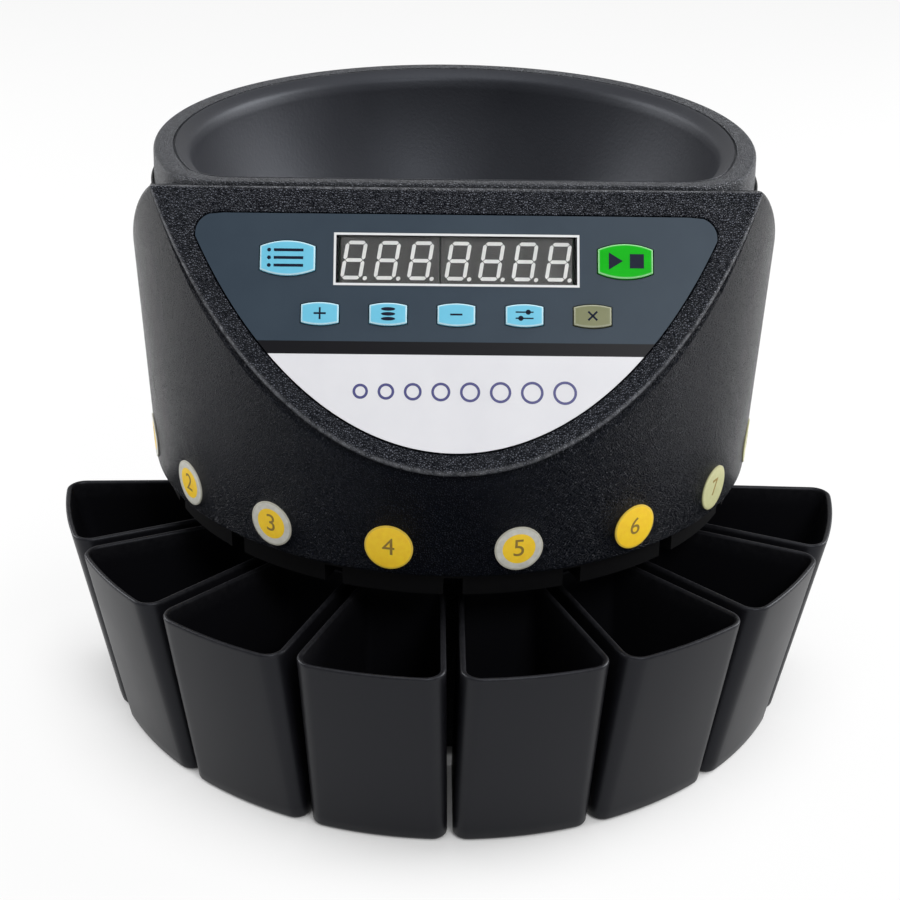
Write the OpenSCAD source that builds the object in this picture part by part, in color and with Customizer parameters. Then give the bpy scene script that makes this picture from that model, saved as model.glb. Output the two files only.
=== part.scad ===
// Counter-top coin sorter: a round drum with a D-shaped coin hopper on top, a sloping control panel
// at the front and eight coin cups standing in an arc under the drum's overhanging edge.
// Frame: millimetres, origin on the table under the middle of the whole, front at -Y, +Z up.
// The modules below are drawn about the drum's axis, which stands axis_back behind the origin.

/* [Drum] */
// Drum radius at its lower edge
body_r = 130; // [128:0.5:134]
// Height of the drum's lower edge above the table
body_bottom = 106; // [104:0.5:109]
// Height of the drum's flat top above its lower edge
body_h = 123; // [119:0.5:128]
// Outward lean of the drum wall, mm per mm of height
body_flare = 0.046; // [0.03:0.002:0.06]
// Radius of the rounded shoulder
shoulder_r = 18; // [14:0.5:21]
// Angle up the shoulder's arc at which it meets the wall, degrees
shoulder_crease = 6.5; // [6:0.5:9]
// Rounding of the drum's lower edge
edge_r = 2; // [1:0.1:2.4]
// Moulded wall thickness
wall = 3; // [2.6:0.1:3.6]

/* [Control panel] */
// Lean of the panel back from upright, degrees
panel_lean = 35; // [32:0.5:37]
// Depth of the panel's lowest point below the drum's flat top
panel_drop = 77; // [73:0.5:80]
// Length of the panel up its slope
panel_len = 108.7; // [106:0.1:111]
// Radius of the roof arc that falls from the panel's top edge to the drum's top
roof_r = 100; // [90:1:120]
// Slope of the two faces that fall from the panel's upper corners to the shoulder, degrees
ear_tilt = 49; // [44:1:54]
// Backward turn of those two faces, degrees
ear_turn = 13; // [9:1:16]
// Thickness of the printed overlay
overlay_t = 1; // [0.6:0.1:1.4]
// Inset of the overlay from the drum wall, measured level
overlay_inset = 4.4; // [4:0.1:6]
// Half width of the overlay near its top
overlay_half = 99.5; // [97:0.5:101]
// Distance of the overlay's top edge below the panel's top edge
overlay_top_gap = 8.8; // [8:0.1:11]
// Radius of the overlay's upper corners
overlay_corner = 12; // [8:0.5:14]
// Gap line around the overlay
overlay_gap = 0.4; // [0.3:0.05:0.6]

/* [Display] */
// Height of the display's middle up the panel
display_up = 82.2; // [81:0.1:83]
// Size of the clear window
window_w = 97; // [95:0.5:98]
window_h = 21; // [20.6:0.1:22]
// Thickness of the clear window
window_t = 1; // [0.8:0.1:1.2]
// Width of the three-digit module, the left one
led_left_w = 37.6; // [36.6:0.1:38]
// Width of the four-digit module, the right one
led_right_w = 50.3; // [49.3:0.1:50.8]
// Height of both modules up the panel
led_h = 19; // [18:0.1:19.4]
// Depth of the module faces below the panel
led_deep = 1.8; // [1.6:0.1:2.4]

/* [Keys] */
// Width and height of the two large keys
big_key_w = 21; // [19:0.1:22]
big_key_h = 13.7; // [12.5:0.1:15]
// Distance of the large keys from the middle
big_key_x = 64.2; // [63.5:0.1:67]
// Width and height of the five small keys
small_key_w = 14.3; // [13:0.1:17]
small_key_h = 8.9; // [8:0.1:10]
// Spacing of the small keys
small_key_pitch = 25.8; // [24:0.1:27]
// Height of the small key row up the panel
small_key_up = 60.7; // [60:0.1:61.5]
// Radius of the bowed upper and lower key edges
key_bow = 26; // [20:1:40]
// Height of the keys above the overlay
key_proud = 0.9; // [0.6:0.1:1.4]
// Key travel
key_travel = 0.6; // [0.4:0.05:0.8]
// Gap around each key
key_gap = 0.4; // [0.3:0.05:0.6]

/* [Hopper] */
// Hopper rim outer radius
hopper_r = 124.5; // [123:0.25:126]
// Height of the rim above the drum's top
hopper_h = 15; // [13:0.5:18]
// Rim width round the back
rim_w = 9.5; // [8:0.25:11]
// Distance of the flat front's outer face from the axis
chord_out = 66; // [65:0.25:67]
// Distance of the flat front's inner face from the axis
chord_in = 59; // [58:0.25:60]
// Radius of the inner front corners
chord_corner = 20; // [16:0.5:24]
// Radius of the opening at the hopper's bottom
throat_r = 72; // [68:0.5:76]
// Wall thickness of the funnel
hopper_wall = 2.5; // [2:0.1:3]
// Gap round the hopper where it drops into the drum
hopper_gap = 0.6; // [0.4:0.05:0.9]

/* [Coin cups] */
// Number of cups is eight; angle from cup to cup, degrees
cup_pitch = 22; // [21.6:0.1:22.4]
// Cup height
cup_h = 88; // [84:0.5:90]
// Radius from the axis to the cups' outer rim
cup_rim_r = 171; // [166:0.5:174]
// Radius from the axis to the cups' outer foot
cup_foot_r = 153; // [150:0.5:160]
// Radius from the axis to the cups' back
cup_back_r = 98; // [97.5:0.25:102]
// Gap between a cup's back and its stop on the stand
cup_stop_gap = 0.2; // [0.1:0.05:0.3]
// Gap between neighbouring rims
cup_gap = 5.2; // [4:0.1:6]
// Cup wall thickness
cup_wall = 2.2; // [1.8:0.1:2.8]
// Cup floor thickness
cup_floor = 2.6; // [2:0.1:3.4]
// Radius of the cups' outer corners
cup_corner = 8; // [6:0.5:9]
// Radius of the cups' back corners
cup_back_corner = 6; // [5:0.5:7]
// Lean of the cups' back from foot to rim
cup_back_draft = 3; // [2:0.25:4]
// Chamfer round the cups' foot
cup_foot_edge = 1.6; // [1:0.1:2.2]

/* [Labels] */
// Diameter of the round labels
label_d = 19; // [17:0.25:20]
// Height of the label middles above the drum's lower edge
label_up = 12.5; // [11.5:0.25:14]
// Label thickness
label_t = 0.5; // [0.4:0.05:0.8]

/* [Stand and deck] */
// Radius of the stand behind the cups
stand_r = 95; // [93:0.25:96]
// Radius of the stand's wider rear half
stand_rear_r = 122; // [119:0.5:124]
// Where the wider rear half begins, behind the axis
stand_step_y = 16; // [12:0.5:20]
// Depth of the flat rear face inside the wider rear half's circle
stand_flat_in = 8; // [7:0.5:10]
// Height of the rubber feet
foot_h = 4; // [3:0.25:5]
// Radius of the rubber feet
foot_r = 8; // [6:0.25:9]
// Base plate thickness
base_t = 3; // [2.5:0.1:4]
// Deck plate thickness
deck_t = 3; // [2.5:0.1:3.5]
// Depth of the deck below the drum's lower edge
deck_drop = 2; // [1.5:0.1:2.5]
// Gap between deck and drum wall
deck_gap = 0.6; // [0.4:0.05:0.9]
// Depth of the spouts under the deck
spout_h = 8; // [6:0.25:9]

/* [Sorting] */
// Height of the chute walls on the deck
chute_h = 35; // [33:0.25:37]
// Thickness of the chute walls
chute_wall = 2; // [1.6:0.1:2.4]
// Thickness of the sorting ring
ring_t = 3; // [2.5:0.1:3.5]
// Width of the smallest slot
slot_min = 16.8; // [15.5:0.1:17.5]
// Ledge between the slots and the rail
slot_rim = 0.5; // [0.4:0.05:0.8]
// Growth of the slots from cup to cup
slot_step = 1.25; // [1:0.05:1.3]
// Length of each slot round the ring, degrees
slot_deg = 13; // [11:0.25:14]
// Radius of the turning disc
disc_r = 78; // [74:0.5:80]
// Running gap round the disc
disc_gap = 0.8; // [0.5:0.05:1.2]
// Thickness of the disc
disc_t = 3; // [2.5:0.1:3.4]

/* [Drive] */
// Spindle radius
spindle_r = 5; // [4.5:0.05:5.5]
// Running clearance on shafts
shaft_gap = 0.05; // [0.02:0.01:0.09]
// Bearing outer radius
bearing_r = 13; // [12:0.1:14]
// Bearing width
bearing_w = 8; // [7:0.25:9]
// Gear module
gear_m = 1.5; // [1.4:0.02:1.6]
// Teeth of the gear on the spindle
gear_n = 64; // [60:4:68]
// Teeth of the motor pinion
pinion_n = 16; // [16:1:16]
// Gear width
gear_w = 8; // [6:0.25:9]
// Motor radius
motor_r = 25; // [22:0.5:27]
// Motor length
motor_h = 60; // [54:0.5:62]
// Motor shaft radius
motor_shaft_r = 3; // [2.5:0.05:3.5]

/* [Hidden] */
$fn = 96;
// Size of cutting blocks, larger than the whole
far = 400;
// Depth of the window's cut and of the labels' cutter
cut_deep = 20;
c_black = [0.10, 0.10, 0.11];
c_cup = [0.14, 0.14, 0.15];
c_slate = [0.24, 0.28, 0.33];
c_blue = [0.36, 0.72, 0.86];
c_green = [0.35, 0.80, 0.30];
c_olive = [0.48, 0.48, 0.31];
c_steel = [0.70, 0.72, 0.75];
c_zinc = [0.60, 0.62, 0.63];
c_board = [0.10, 0.34, 0.22];
c_rubber = [0.07, 0.07, 0.07];
c_acetal = [0.88, 0.87, 0.82];
c_yellow = [0.90, 0.76, 0.25];
c_led = [0.25, 0.25, 0.27];
c_socket = [0.13, 0.13, 0.14];
body_top = body_bottom + body_h;
flare_deg = atan(body_flare);
shoulder_z = body_top - shoulder_r;
crease_z = shoulder_z + shoulder_r * sin(shoulder_crease);
cap_at = drum_r(crease_z) - shoulder_r * cos(shoulder_crease);
shoulder_at = drum_r(shoulder_z - shoulder_r * sin(flare_deg)) - shoulder_r * cos(flare_deg);
panel_foot_z = body_top - panel_drop;
panel_foot_y = -drum_r(panel_foot_z);
panel_top_z = panel_foot_z + panel_len * cos(panel_lean);
panel_top_y = panel_foot_y + panel_len * sin(panel_lean);
corner_bite = 0.05;
// Distance from the axis to the back of the raised front's blank
console_front = 10;
// Spare height of the drum's blank above its top
blank_over = 40;
ear_x = sqrt(pow(drum_r(panel_top_z), 2) - pow(panel_top_y, 2));
overlay_up = panel_len - overlay_top_gap;
window_ledge = 3.4;
window_lip = 0.7;
overlay_r = drum_r(panel_foot_z) - overlay_inset;
// Depth of the control board under the panel's wall, and its margins round the keys and the display
board_under = 9.4;
board_below = 1.6;
board_above = 12.6;
board_z = -(wall + board_under);
board_t = 1.6;
board_half_w = 90;
board_low = small_key_up - small_key_h / 2 - board_below;
board_high = display_up + board_above;
post_in_x = 6;
post_in_s = 5;
post_x = board_half_w - post_in_x;
post_low = board_low + post_in_s;
post_high = board_high - post_in_s;
// Depth of the key stems under the wall, and their gap to the switches when pressed
key_stem_under = 3.8;
key_end_gap = 0.2;
key_deep = wall + key_stem_under;
switch_stem_z = -(key_deep + key_travel + key_end_gap);
// Each key: across, up, width, height
key_report = [-big_key_x, display_up, big_key_w, big_key_h];
key_start = [big_key_x, display_up, big_key_w, big_key_h];
key_plus = [-2 * small_key_pitch, small_key_up, small_key_w, small_key_h];
key_batch = [-small_key_pitch, small_key_up, small_key_w, small_key_h];
key_minus = [0, small_key_up, small_key_w, small_key_h];
key_set = [small_key_pitch, small_key_up, small_key_w, small_key_h];
key_clear = [2 * small_key_pitch, small_key_up, small_key_w, small_key_h];
keys = [key_report, key_start, key_plus, key_batch, key_minus, key_set, key_clear];
rim_z = body_top + hopper_h;
bowl_r = hopper_r - rim_w;
deck_z = body_bottom - deck_drop;
deck_top = deck_z + deck_t;
deck_r = drum_r(body_bottom) - wall - deck_gap;
spout_z = deck_z - spout_h;
chute_out = deck_r;
// Distance from the widest slot to the chutes' inner wall
chute_room = 0.7;
chute_in = chute_out - chute_wall - slot_rim - slot_min - 7 * slot_step - chute_room;
chute_top = deck_top + chute_h;
chute_arc = 4 * cup_pitch + 2;
ring_top = chute_top + ring_t;
rail_r = chute_out - chute_wall;
rail_h = 6;
// Heights of the disc above the ring, of the throat above the disc and of the bowl's edge above the drum's top
disc_over = 0.4;
throat_over = 5;
bowl_over = 3;
disc_top = ring_top + disc_over;
throat_z = disc_top + throat_over;
bowl_z = body_top + bowl_over;
bowl_slope = (bowl_r - throat_r) / (bowl_z - throat_z);
finger_h = 3.2;
// Distances from deck to gear, from gear to bracket and from the gear to the spindle's lower end
gear_under = 10;
bracket_under = 8;
spindle_under = 4;
gear_z = deck_z - gear_w - gear_under;
spindle_low = gear_z - spindle_under;
hub_h = 4;
bearing_apart = 12;
housing_h = 2 * bearing_w + bearing_apart;
gear_d = gear_m * (gear_n + pinion_n) / 2;
bracket_z = gear_z - bracket_under;
bracket_t = 3;
stand_z = foot_h + base_t;
stand_flat_y = stand_rear_r - stand_flat_in;
stand_h = deck_z - stand_z;
boss_r = 5;
boss_in = 6;
boss_h = 18;
boss_back = 0.8;
cup_stop_w = 18;
cup_stop_h = 8;
// Distance of the rear screws from the deck's edge
screw_in = 13.4;
boss_front_at = stand_r - wall - boss_in;
boss_rear_at = min(stand_rear_r - wall - boss_in, deck_r - screw_in);
boss_front_deg = 45;
boss_rear_deg = 124;
lug_at = deck_r - screw_in;
lug_deg_a = 106;
lug_deg_b = 152;
lug_r = 4.5;
lug_h = 24;
screw_r = 1.6;
screw_head_r = 3;
screw_head_h = 2;
// Length of a screw in its boss, and the empty end of its hole
screw_bite = 11.5;
board_screw_bite = 5;
screw_room = 1.5;
// Mains inlet and power switch in the rear face of the stand
inlet_x = 26;
inlet_z = 46;
inlet_w = 26;
inlet_h = 19;
inlet_deep = 20;
inlet_skin = 1.5;
inlet_floor = 4;
inlet_lip = 3;
inlet_lip_t = 2.4;
pin_pitch = 7;
pin_drop = 2;
pin_t = 2;
pin_w = 4;
pin_l = 14;
switch_x = -20;
switch_w = 13;
switch_h = 20;
switch_deep = 16;
switch_skin = 1.2;
switch_floor = 6;
switch_lip = 1.5;
switch_lip_t = 2;
rocker_tip = 7;
rocker_pin_r = 1.2;
rocker_in = 1.5;
// Parts of the drive
bracket_half = 36;
bracket_edge = 6;
bracket_front = 16;
post_front = 6;
post_back = 22;
post_r = 4;
motor_nose_r = 7;
shaft_in = 12;
disc_hub_r = 14;
gear_hub_r = 12;
gear_hub_out = 2;
cap_r = 15;
cap_top_r = 8;
cap_rim_h = 3;
cap_cone_h = 5;
cap_bite = 2;
housing_flange = 14;
housing_flange_t = 3;
housing_skin = 4;
spindle_room = 3;
// Power board on its posts in the stand
power_y = 18;
power_w = 44;
power_d = 60;
// Reach of the board's rear corner past the circle of the rear screws
power_past = 1.63;
power_x = -sqrt(pow(boss_rear_at + power_past, 2) - pow(power_y + power_d, 2));
power_post_h = 6;
power_post_r = 3;
power_post_in = 5;
transformer = [36, 32, 28];
transformer_at = [4, 14];
capacitor_r = 6;
capacitor_h = 22;
capacitor_at = [33, 7];
// Coin sensors on the chutes' inner wall
sensor = [8, 5, 7];
sensor_up = 0.6;
sensor_at = sqrt(pow(chute_in - chute_wall, 2) - pow(sensor[0] / 2, 2)) - 0.02;
// Blades of the disc: half widths at hub, disc edge and tip
finger_in = 36;
finger_w = 7;
finger_mid_w = 5;
finger_tip_w = 3;
finger_tip_back = 1;
// Key parts under the panel
key_flange_x = 1.5;
key_flange_y = 1;
key_flange_t = 1.2;
key_neck = 0.6;
key_stem_r = 2.5;
switch_body = 6;
switch_body_h = 3.4;
switch_stem_r = 1.75;
board_post_r = 3.5;
module_gap = 0.4;
display_half = (led_left_w + led_right_w + module_gap) / 2;
window_fit = 0.2;
spout_wall = 1.6;
spout_end = 1.5;
spout_side_deg = 3.5;
spout_bore_deg = 5.5;
// Reach of the cups to the front and distance of the axis behind the origin
cup_front_deg = asin((cup_gap / 2 + cup_corner) / (cup_rim_r - cup_corner));
cup_front = (cup_rim_r - cup_corner) * cos(cup_front_deg) + cup_corner;
axis_back = (cup_front - drum_r(crease_z)) / 2;
foot_in = 3;
foot_front_deg = 22;
foot_rear_deg = 140;

function drum_r(z) = body_r + body_flare * (z - body_bottom);

// Places children on the panel: origin at its lowest point, y up the slope, z out of the face
module on_panel() {
    translate([0, panel_foot_y, panel_foot_z]) rotate([90 - panel_lean, 0, 0]) children();
}

// Everything in front of the panel face, shifted inward by t
module panel_front(t) {
    on_panel() translate([-far, -far, -t]) cube([2 * far, 2 * far, far]);
}

// Turns children from the front to angle a round the axis
module at_angle(a) {
    rotate([0, 0, a]) children();
}

// Half section of the drum's leaning wall, carried up past the top
module wall_section() {
    low_r = drum_r(body_bottom + edge_r);
    blank_top = body_top + blank_over;
    union() {
        polygon([[0, body_bottom], [low_r - edge_r, body_bottom], [low_r - edge_r, body_bottom + edge_r],
            [low_r, body_bottom + edge_r], [drum_r(blank_top), blank_top], [0, blank_top]]);
        translate([low_r - edge_r, body_bottom + edge_r]) circle(r = edge_r);
    }
}

// Half section of the rounded cap that closes the drum: it meets the wall where the shoulder begins
module cap_section() {
    union() {
        polygon([[0, body_bottom - 5], [cap_at + shoulder_r, body_bottom - 5],
            [cap_at + shoulder_r, shoulder_z], [cap_at, shoulder_z], [cap_at, body_top], [0, body_top]]);
        translate([cap_at, shoulder_z]) circle(r = shoulder_r);
    }
}

// Half section of the drum's hollow
module drum_inside() {
    inner_r = shoulder_r - wall;
    tangent_r = shoulder_at + inner_r * cos(flare_deg);
    tangent_z = shoulder_z - inner_r * sin(flare_deg);
    union() {
        polygon([[0, body_bottom - 1], [drum_r(body_bottom - 1) - wall, body_bottom - 1],
            [tangent_r, tangent_z], [shoulder_at, shoulder_z], [shoulder_at, body_top - wall],
            [0, body_top - wall]]);
        translate([shoulder_at, shoulder_z]) circle(r = inner_r);
    }
}

// Everything above the face that falls from the right upper corner of the panel to the shoulder
module ear_cut() {
    translate([ear_x, panel_top_y, panel_top_z]) rotate([0, ear_tilt, ear_turn])
        translate([-far / 2, -far / 2, 0]) cube([far, far, far]);
}

// Raised front block that carries the panel's upper edge
module console_block() {
    difference() {
        intersection() {
            translate([0, panel_top_y, panel_top_z - roof_r])
                rotate([0, 90, 0]) cylinder(r = roof_r, h = far, center = true);
            translate([-far / 2, -far - console_front, panel_foot_z]) cube([far, far, far]);
        }
        ear_cut();
        mirror([1, 0, 0]) ear_cut();
    }
}

// Outside of the drum with its raised front, before the panel is cut
module drum_block() {
    intersection() {
        rotate_extrude() wall_section();
        union() {
            rotate_extrude() cap_section();
            console_block();
        }
    }
}

// Circle cut by a straight front at distance c, with rounded corners of radius k
module d_shape(r, c, k) {
    side = sqrt(pow(r - k + corner_bite, 2) - pow(c - k, 2));
    union() {
        difference() {
            circle(r = r);
            polygon([[0, 0], [3 * side, 3 * (k - c)], [0, -6 * r], [-3 * side, 3 * (k - c)]]);
        }
        translate([-side, -c]) square([2 * side, c + r / 4]);
        translate([side, k - c]) circle(r = k);
        translate([-side, k - c]) circle(r = k);
    }
}

module d_block(r, c, k, z, h) {
    translate([0, 0, z]) linear_extrude(height = h) d_shape(r, c, k);
}

// Key outline with bowed upper and lower edges
module key_outline(w, h) {
    bow = max(key_bow, w * 0.75);
    intersection() {
        square([w, 2 * h], center = true);
        translate([0, h / 2 - bow]) circle(r = bow);
        translate([0, bow - h / 2]) circle(r = bow);
    }
}

// Overlay outline: straight top with rounded corners, grown by g
module overlay_outline(g) {
    half = overlay_half + g;
    top = overlay_up + g;
    k = overlay_corner;
    union() {
        translate([-half, 0]) square([2 * half, top - k]);
        translate([k - half, top - k - 1]) square([2 * half - 2 * k, k + 1]);
        translate([k - half, top - k]) circle(r = k);
        translate([half - k, top - k]) circle(r = k);
    }
}

// Overlay blank, grown by g, bounded below by a smaller upright drum
module overlay_blank(g) {
    intersection() {
        on_panel() translate([0, 0, -overlay_t]) linear_extrude(height = overlay_t + g) overlay_outline(g);
        cylinder(r = overlay_r + g, h = far);
    }
}

module key_holes(deep) {
    for (k = keys) {
        on_panel() translate([k[0], k[1], -deep]) linear_extrude(height = deep + 1)
            key_outline(k[2] + 2 * key_gap, k[3] + 2 * key_gap);
    }
}

module board_places() {
    for (x = [-post_x, post_x]) for (s = [post_low, post_high]) on_panel() translate([x, s, 0]) children();
}

module lug_places() {
    for (a = [lug_deg_a, lug_deg_b, -lug_deg_a, -lug_deg_b])
        at_angle(a) translate([0, -lug_at, 0]) children();
}

module boss_fronts() {
    for (a = [boss_front_deg, -boss_front_deg]) at_angle(a) translate([0, -boss_front_at, 0]) children();
}

module boss_rears() {
    for (a = [boss_rear_deg, -boss_rear_deg]) at_angle(a) translate([0, -boss_rear_at, 0]) children();
}

module boss_places() {
    boss_fronts() children();
    boss_rears() children();
}

// Screw standing with its head's underside at the origin
module screw(long) {
    translate([0, 0, -screw_head_h]) cylinder(r = screw_head_r, h = screw_head_h);
    translate([0, 0, -screw_head_h / 2]) cylinder(r = screw_r, h = long + screw_head_h / 2);
}

// Blind hole for the end of a screw
module screw_hole(long) {
    translate([0, 0, -1]) cylinder(r = screw_r, h = long + screw_room + 1);
}

// Hole through a plate t thick
module plate_hole(r, t) {
    translate([0, 0, -1]) cylinder(r = r, h = t + 2);
}

module main_housing() {
    color(c_black) difference() {
        union() {
            difference() {
                drum_block();
                difference() {
                    rotate_extrude() drum_inside();
                    panel_front(wall + overlay_t);
                }
            }
            lug_places() translate([0, 0, deck_top]) cylinder(r = lug_r, h = lug_h);
            lug_places() translate([-wall / 2, lug_at - drum_r(deck_top) + wall / 2, deck_top])
                cube([wall, drum_r(deck_top) - wall / 2 - lug_at, lug_h]);
            board_places() translate([0, 0, board_z]) cylinder(r = board_post_r, h = -board_z - wall / 2);
        }
        panel_front(0);
        overlay_blank(overlay_gap);
        key_holes(wall + overlay_t + 1);
        on_panel() translate([window_ledge - window_w / 2, display_up + window_lip - window_h / 2, -cut_deep])
            cube([window_w - 2 * window_ledge, window_h - 2 * window_lip, cut_deep + 1]);
        d_block(bowl_r + hopper_wall + hopper_gap, chord_in + hopper_wall + hopper_gap,
            chord_corner + hopper_wall, body_top - wall - 1, wall + 2);
        d_block(hopper_r + hopper_gap, chord_out + hopper_gap, chord_corner + chord_out - chord_in,
            body_top, blank_over);
        lug_places() translate([0, 0, deck_top]) screw_hole(screw_bite);
        board_places() translate([0, 0, board_z]) screw_hole(board_screw_bite);
    }
}

module panel_overlay() {
    color(c_slate) difference() {
        overlay_blank(0);
        key_holes(overlay_t + 1);
        on_panel() translate([-window_w / 2, display_up - window_h / 2, -5]) cube([window_w, window_h, 10]);
    }
}

module display_window() {
    color([0.75, 0.8, 0.82, 0.5]) on_panel()
        translate([window_fit - window_w / 2, display_up + window_fit - window_h / 2, -overlay_t])
            cube([window_w - 2 * window_fit, window_h - 2 * window_fit, window_t]);
}

module led_block(x, w) {
    on_panel() translate([x, display_up - led_h / 2, board_z]) cube([w, led_h, -board_z - led_deep]);
}

module led_display_left() {
    color(c_led) led_block(-display_half, led_left_w);
}

module led_display_right() {
    color(c_led) led_block(display_half - led_right_w, led_right_w);
}

module control_board() {
    color(c_board) difference() {
        on_panel() translate([-board_half_w, board_low, board_z - board_t])
            cube([2 * board_half_w, board_high - board_low, board_t]);
        board_places() translate([0, 0, board_z - board_t]) plate_hole(screw_r, board_t);
    }
}

module control_board_screws() {
    color(c_zinc) board_places() translate([0, 0, board_z - board_t]) screw(board_t + board_screw_bite);
}

module key_switches() {
    color([0.16, 0.16, 0.17]) for (k = keys) on_panel() translate([k[0], k[1], board_z]) {
        translate([-switch_body / 2, -switch_body / 2, 0]) cube([switch_body, switch_body, switch_body_h]);
        cylinder(r = switch_stem_r, h = switch_stem_z - board_z);
    }
}

// Key cap with the flange that holds it under the panel and the stem that works its switch
module key_body(k) {
    neck = wall + overlay_t + key_neck;
    on_panel() translate([k[0], k[1], 0]) {
        translate([0, 0, -neck]) linear_extrude(height = neck + key_proud) key_outline(k[2], k[3]);
        translate([-k[2] / 2 - key_flange_x, -k[3] / 2 - key_flange_y, -neck - 1])
            cube([k[2] + 2 * key_flange_x, k[3] + 2 * key_flange_y, key_flange_t]);
        translate([0, 0, -key_deep]) cylinder(r = key_stem_r, h = key_deep - neck);
    }
}

module report_key() {
    color(c_blue) key_body(key_report);
}

module start_stop_key() {
    color(c_green) key_body(key_start);
}

module plus_key() {
    color(c_blue) key_body(key_plus);
}

module batch_key() {
    color(c_blue) key_body(key_batch);
}

module minus_key() {
    color(c_blue) key_body(key_minus);
}

module set_key() {
    color(c_blue) key_body(key_set);
}

module clear_key() {
    color(c_olive) key_body(key_clear);
}

module coin_labels() {
    tall = shoulder_z - body_bottom;
    color(c_yellow) for (k = [1:8]) at_angle((k - 4.5) * cup_pitch) intersection() {
        translate([0, 0, body_bottom]) difference() {
            cylinder(r1 = body_r + label_t, r2 = drum_r(shoulder_z) + label_t, h = tall);
            cylinder(r1 = body_r, r2 = drum_r(shoulder_z), h = tall);
        }
        translate([0, -body_r, body_bottom + label_up]) rotate([90, 0, 0])
            cylinder(d = label_d, h = cut_deep, center = true);
    }
}

module hopper_bowl() {
    skin = hopper_wall * sqrt(1 + bowl_slope * bowl_slope);
    throat_out = throat_r + skin;
    shelf_out = throat_out + bowl_slope * (body_top - throat_z);
    color(c_black) difference() {
        union() {
            d_block(hopper_r, chord_out, chord_corner + chord_out - chord_in, body_top, hopper_h);
            intersection() {
                d_block(bowl_r + hopper_wall, chord_in + hopper_wall, chord_corner + hopper_wall,
                    throat_z, body_top - throat_z + 1);
                translate([0, 0, throat_z]) union() {
                    cylinder(r1 = throat_out, r2 = shelf_out, h = body_top - throat_z);
                    cylinder(r = throat_out, h = 4);
                    translate([0, 0, body_top - throat_z]) cylinder(r = shelf_out, h = 1);
                }
            }
        }
        intersection() {
            d_block(bowl_r, chord_in, chord_corner, throat_z - 1, rim_z - throat_z + 2);
            union() {
                translate([0, 0, throat_z]) cylinder(r1 = throat_r, r2 = bowl_r, h = bowl_z - throat_z);
                translate([0, 0, throat_z - 1]) cylinder(r = throat_r, h = 2);
                translate([0, 0, bowl_z]) cylinder(r = bowl_r, h = rim_z - bowl_z + 1);
            }
        }
    }
}

// Plan of the stand, shrunk by t
module stand_plan(t) {
    intersection() {
        union() {
            rotate([0, 0, 90]) circle(r = stand_r - t);
            intersection() {
                circle(r = stand_rear_r - t);
                translate([-far / 2, stand_step_y + t]) square([far, far]);
            }
        }
        translate([-far / 2, -far]) square([far, far + stand_flat_y - t]);
    }
}

module base_plate() {
    color(c_black) difference() {
        translate([0, 0, foot_h]) linear_extrude(height = base_t) stand_plan(0);
        boss_places() translate([0, 0, foot_h]) plate_hole(screw_r, base_t);
    }
}

module rubber_feet() {
    color(c_rubber) {
        for (a = [-foot_front_deg, foot_front_deg])
            at_angle(a) translate([0, -stand_r + foot_r + foot_in, 0]) cylinder(r = foot_r, h = foot_h);
        for (a = [-foot_rear_deg, foot_rear_deg])
            at_angle(a) translate([0, -stand_rear_r + foot_r + foot_in, 0]) cylinder(r = foot_r, h = foot_h);
    }
}

module base_screws() {
    color(c_zinc) boss_places() translate([0, 0, foot_h]) screw(base_t + screw_bite);
}

// Pad on the stand that the top of a cup's back comes up against
module cup_stop() {
    reach = cup_back_r * cos(cup_back_deg(cup_h)) - cup_stop_gap;
    translate([-cup_stop_w / 2, -reach, cup_h - cup_stop_h])
        cube([cup_stop_w, reach - stand_r + 2, cup_stop_h]);
}

// Screw boss joined to the stand's wall by a rib of length reach
module stand_boss(reach) {
    cylinder(r = boss_r, h = boss_h);
    translate([-wall / 2, -reach, 0]) cube([wall, reach, boss_h]);
}

// All eight bosses: one at each end of each screw place
module stand_bosses() {
    for (z = [stand_z + boss_back, deck_z - boss_h - boss_back]) translate([0, 0, z]) {
        boss_fronts() stand_boss(stand_r - wall / 2 - boss_front_at);
        boss_rears() stand_boss(stand_rear_r - wall / 2 - boss_rear_at);
    }
}

module lower_housing() {
    color(c_black) difference() {
        union() {
            translate([0, 0, stand_z]) difference() {
                linear_extrude(height = stand_h) stand_plan(0);
                translate([0, 0, -1]) linear_extrude(height = stand_h + 2) stand_plan(wall);
            }
            stand_bosses();
            for (k = [1:8]) at_angle((k - 4.5) * cup_pitch) cup_stop();
        }
        boss_places() translate([0, 0, stand_z]) screw_hole(screw_bite);
        boss_places() translate([0, 0, deck_z]) mirror([0, 0, 1]) screw_hole(screw_bite);
        translate([inlet_x - inlet_w / 2, stand_flat_y - wall - 1, inlet_z - inlet_h / 2])
            cube([inlet_w, wall + 2, inlet_h]);
        translate([switch_x - switch_w / 2, stand_flat_y - wall - 1, inlet_z - switch_h / 2])
            cube([switch_w, wall + 2, switch_h]);
    }
}

module power_inlet() {
    color(c_socket) translate([inlet_x - inlet_w / 2, stand_flat_y, inlet_z - inlet_h / 2]) difference() {
        union() {
            translate([0, -inlet_deep, 0]) cube([inlet_w, inlet_deep + inlet_lip_t / 2, inlet_h]);
            translate([-inlet_lip, 0, -inlet_lip])
                cube([inlet_w + 2 * inlet_lip, inlet_lip_t, inlet_h + 2 * inlet_lip]);
        }
        translate([inlet_skin, inlet_floor - inlet_deep, inlet_skin])
            cube([inlet_w - 2 * inlet_skin, inlet_deep + inlet_lip_t, inlet_h - 2 * inlet_skin]);
    }
}

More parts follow.
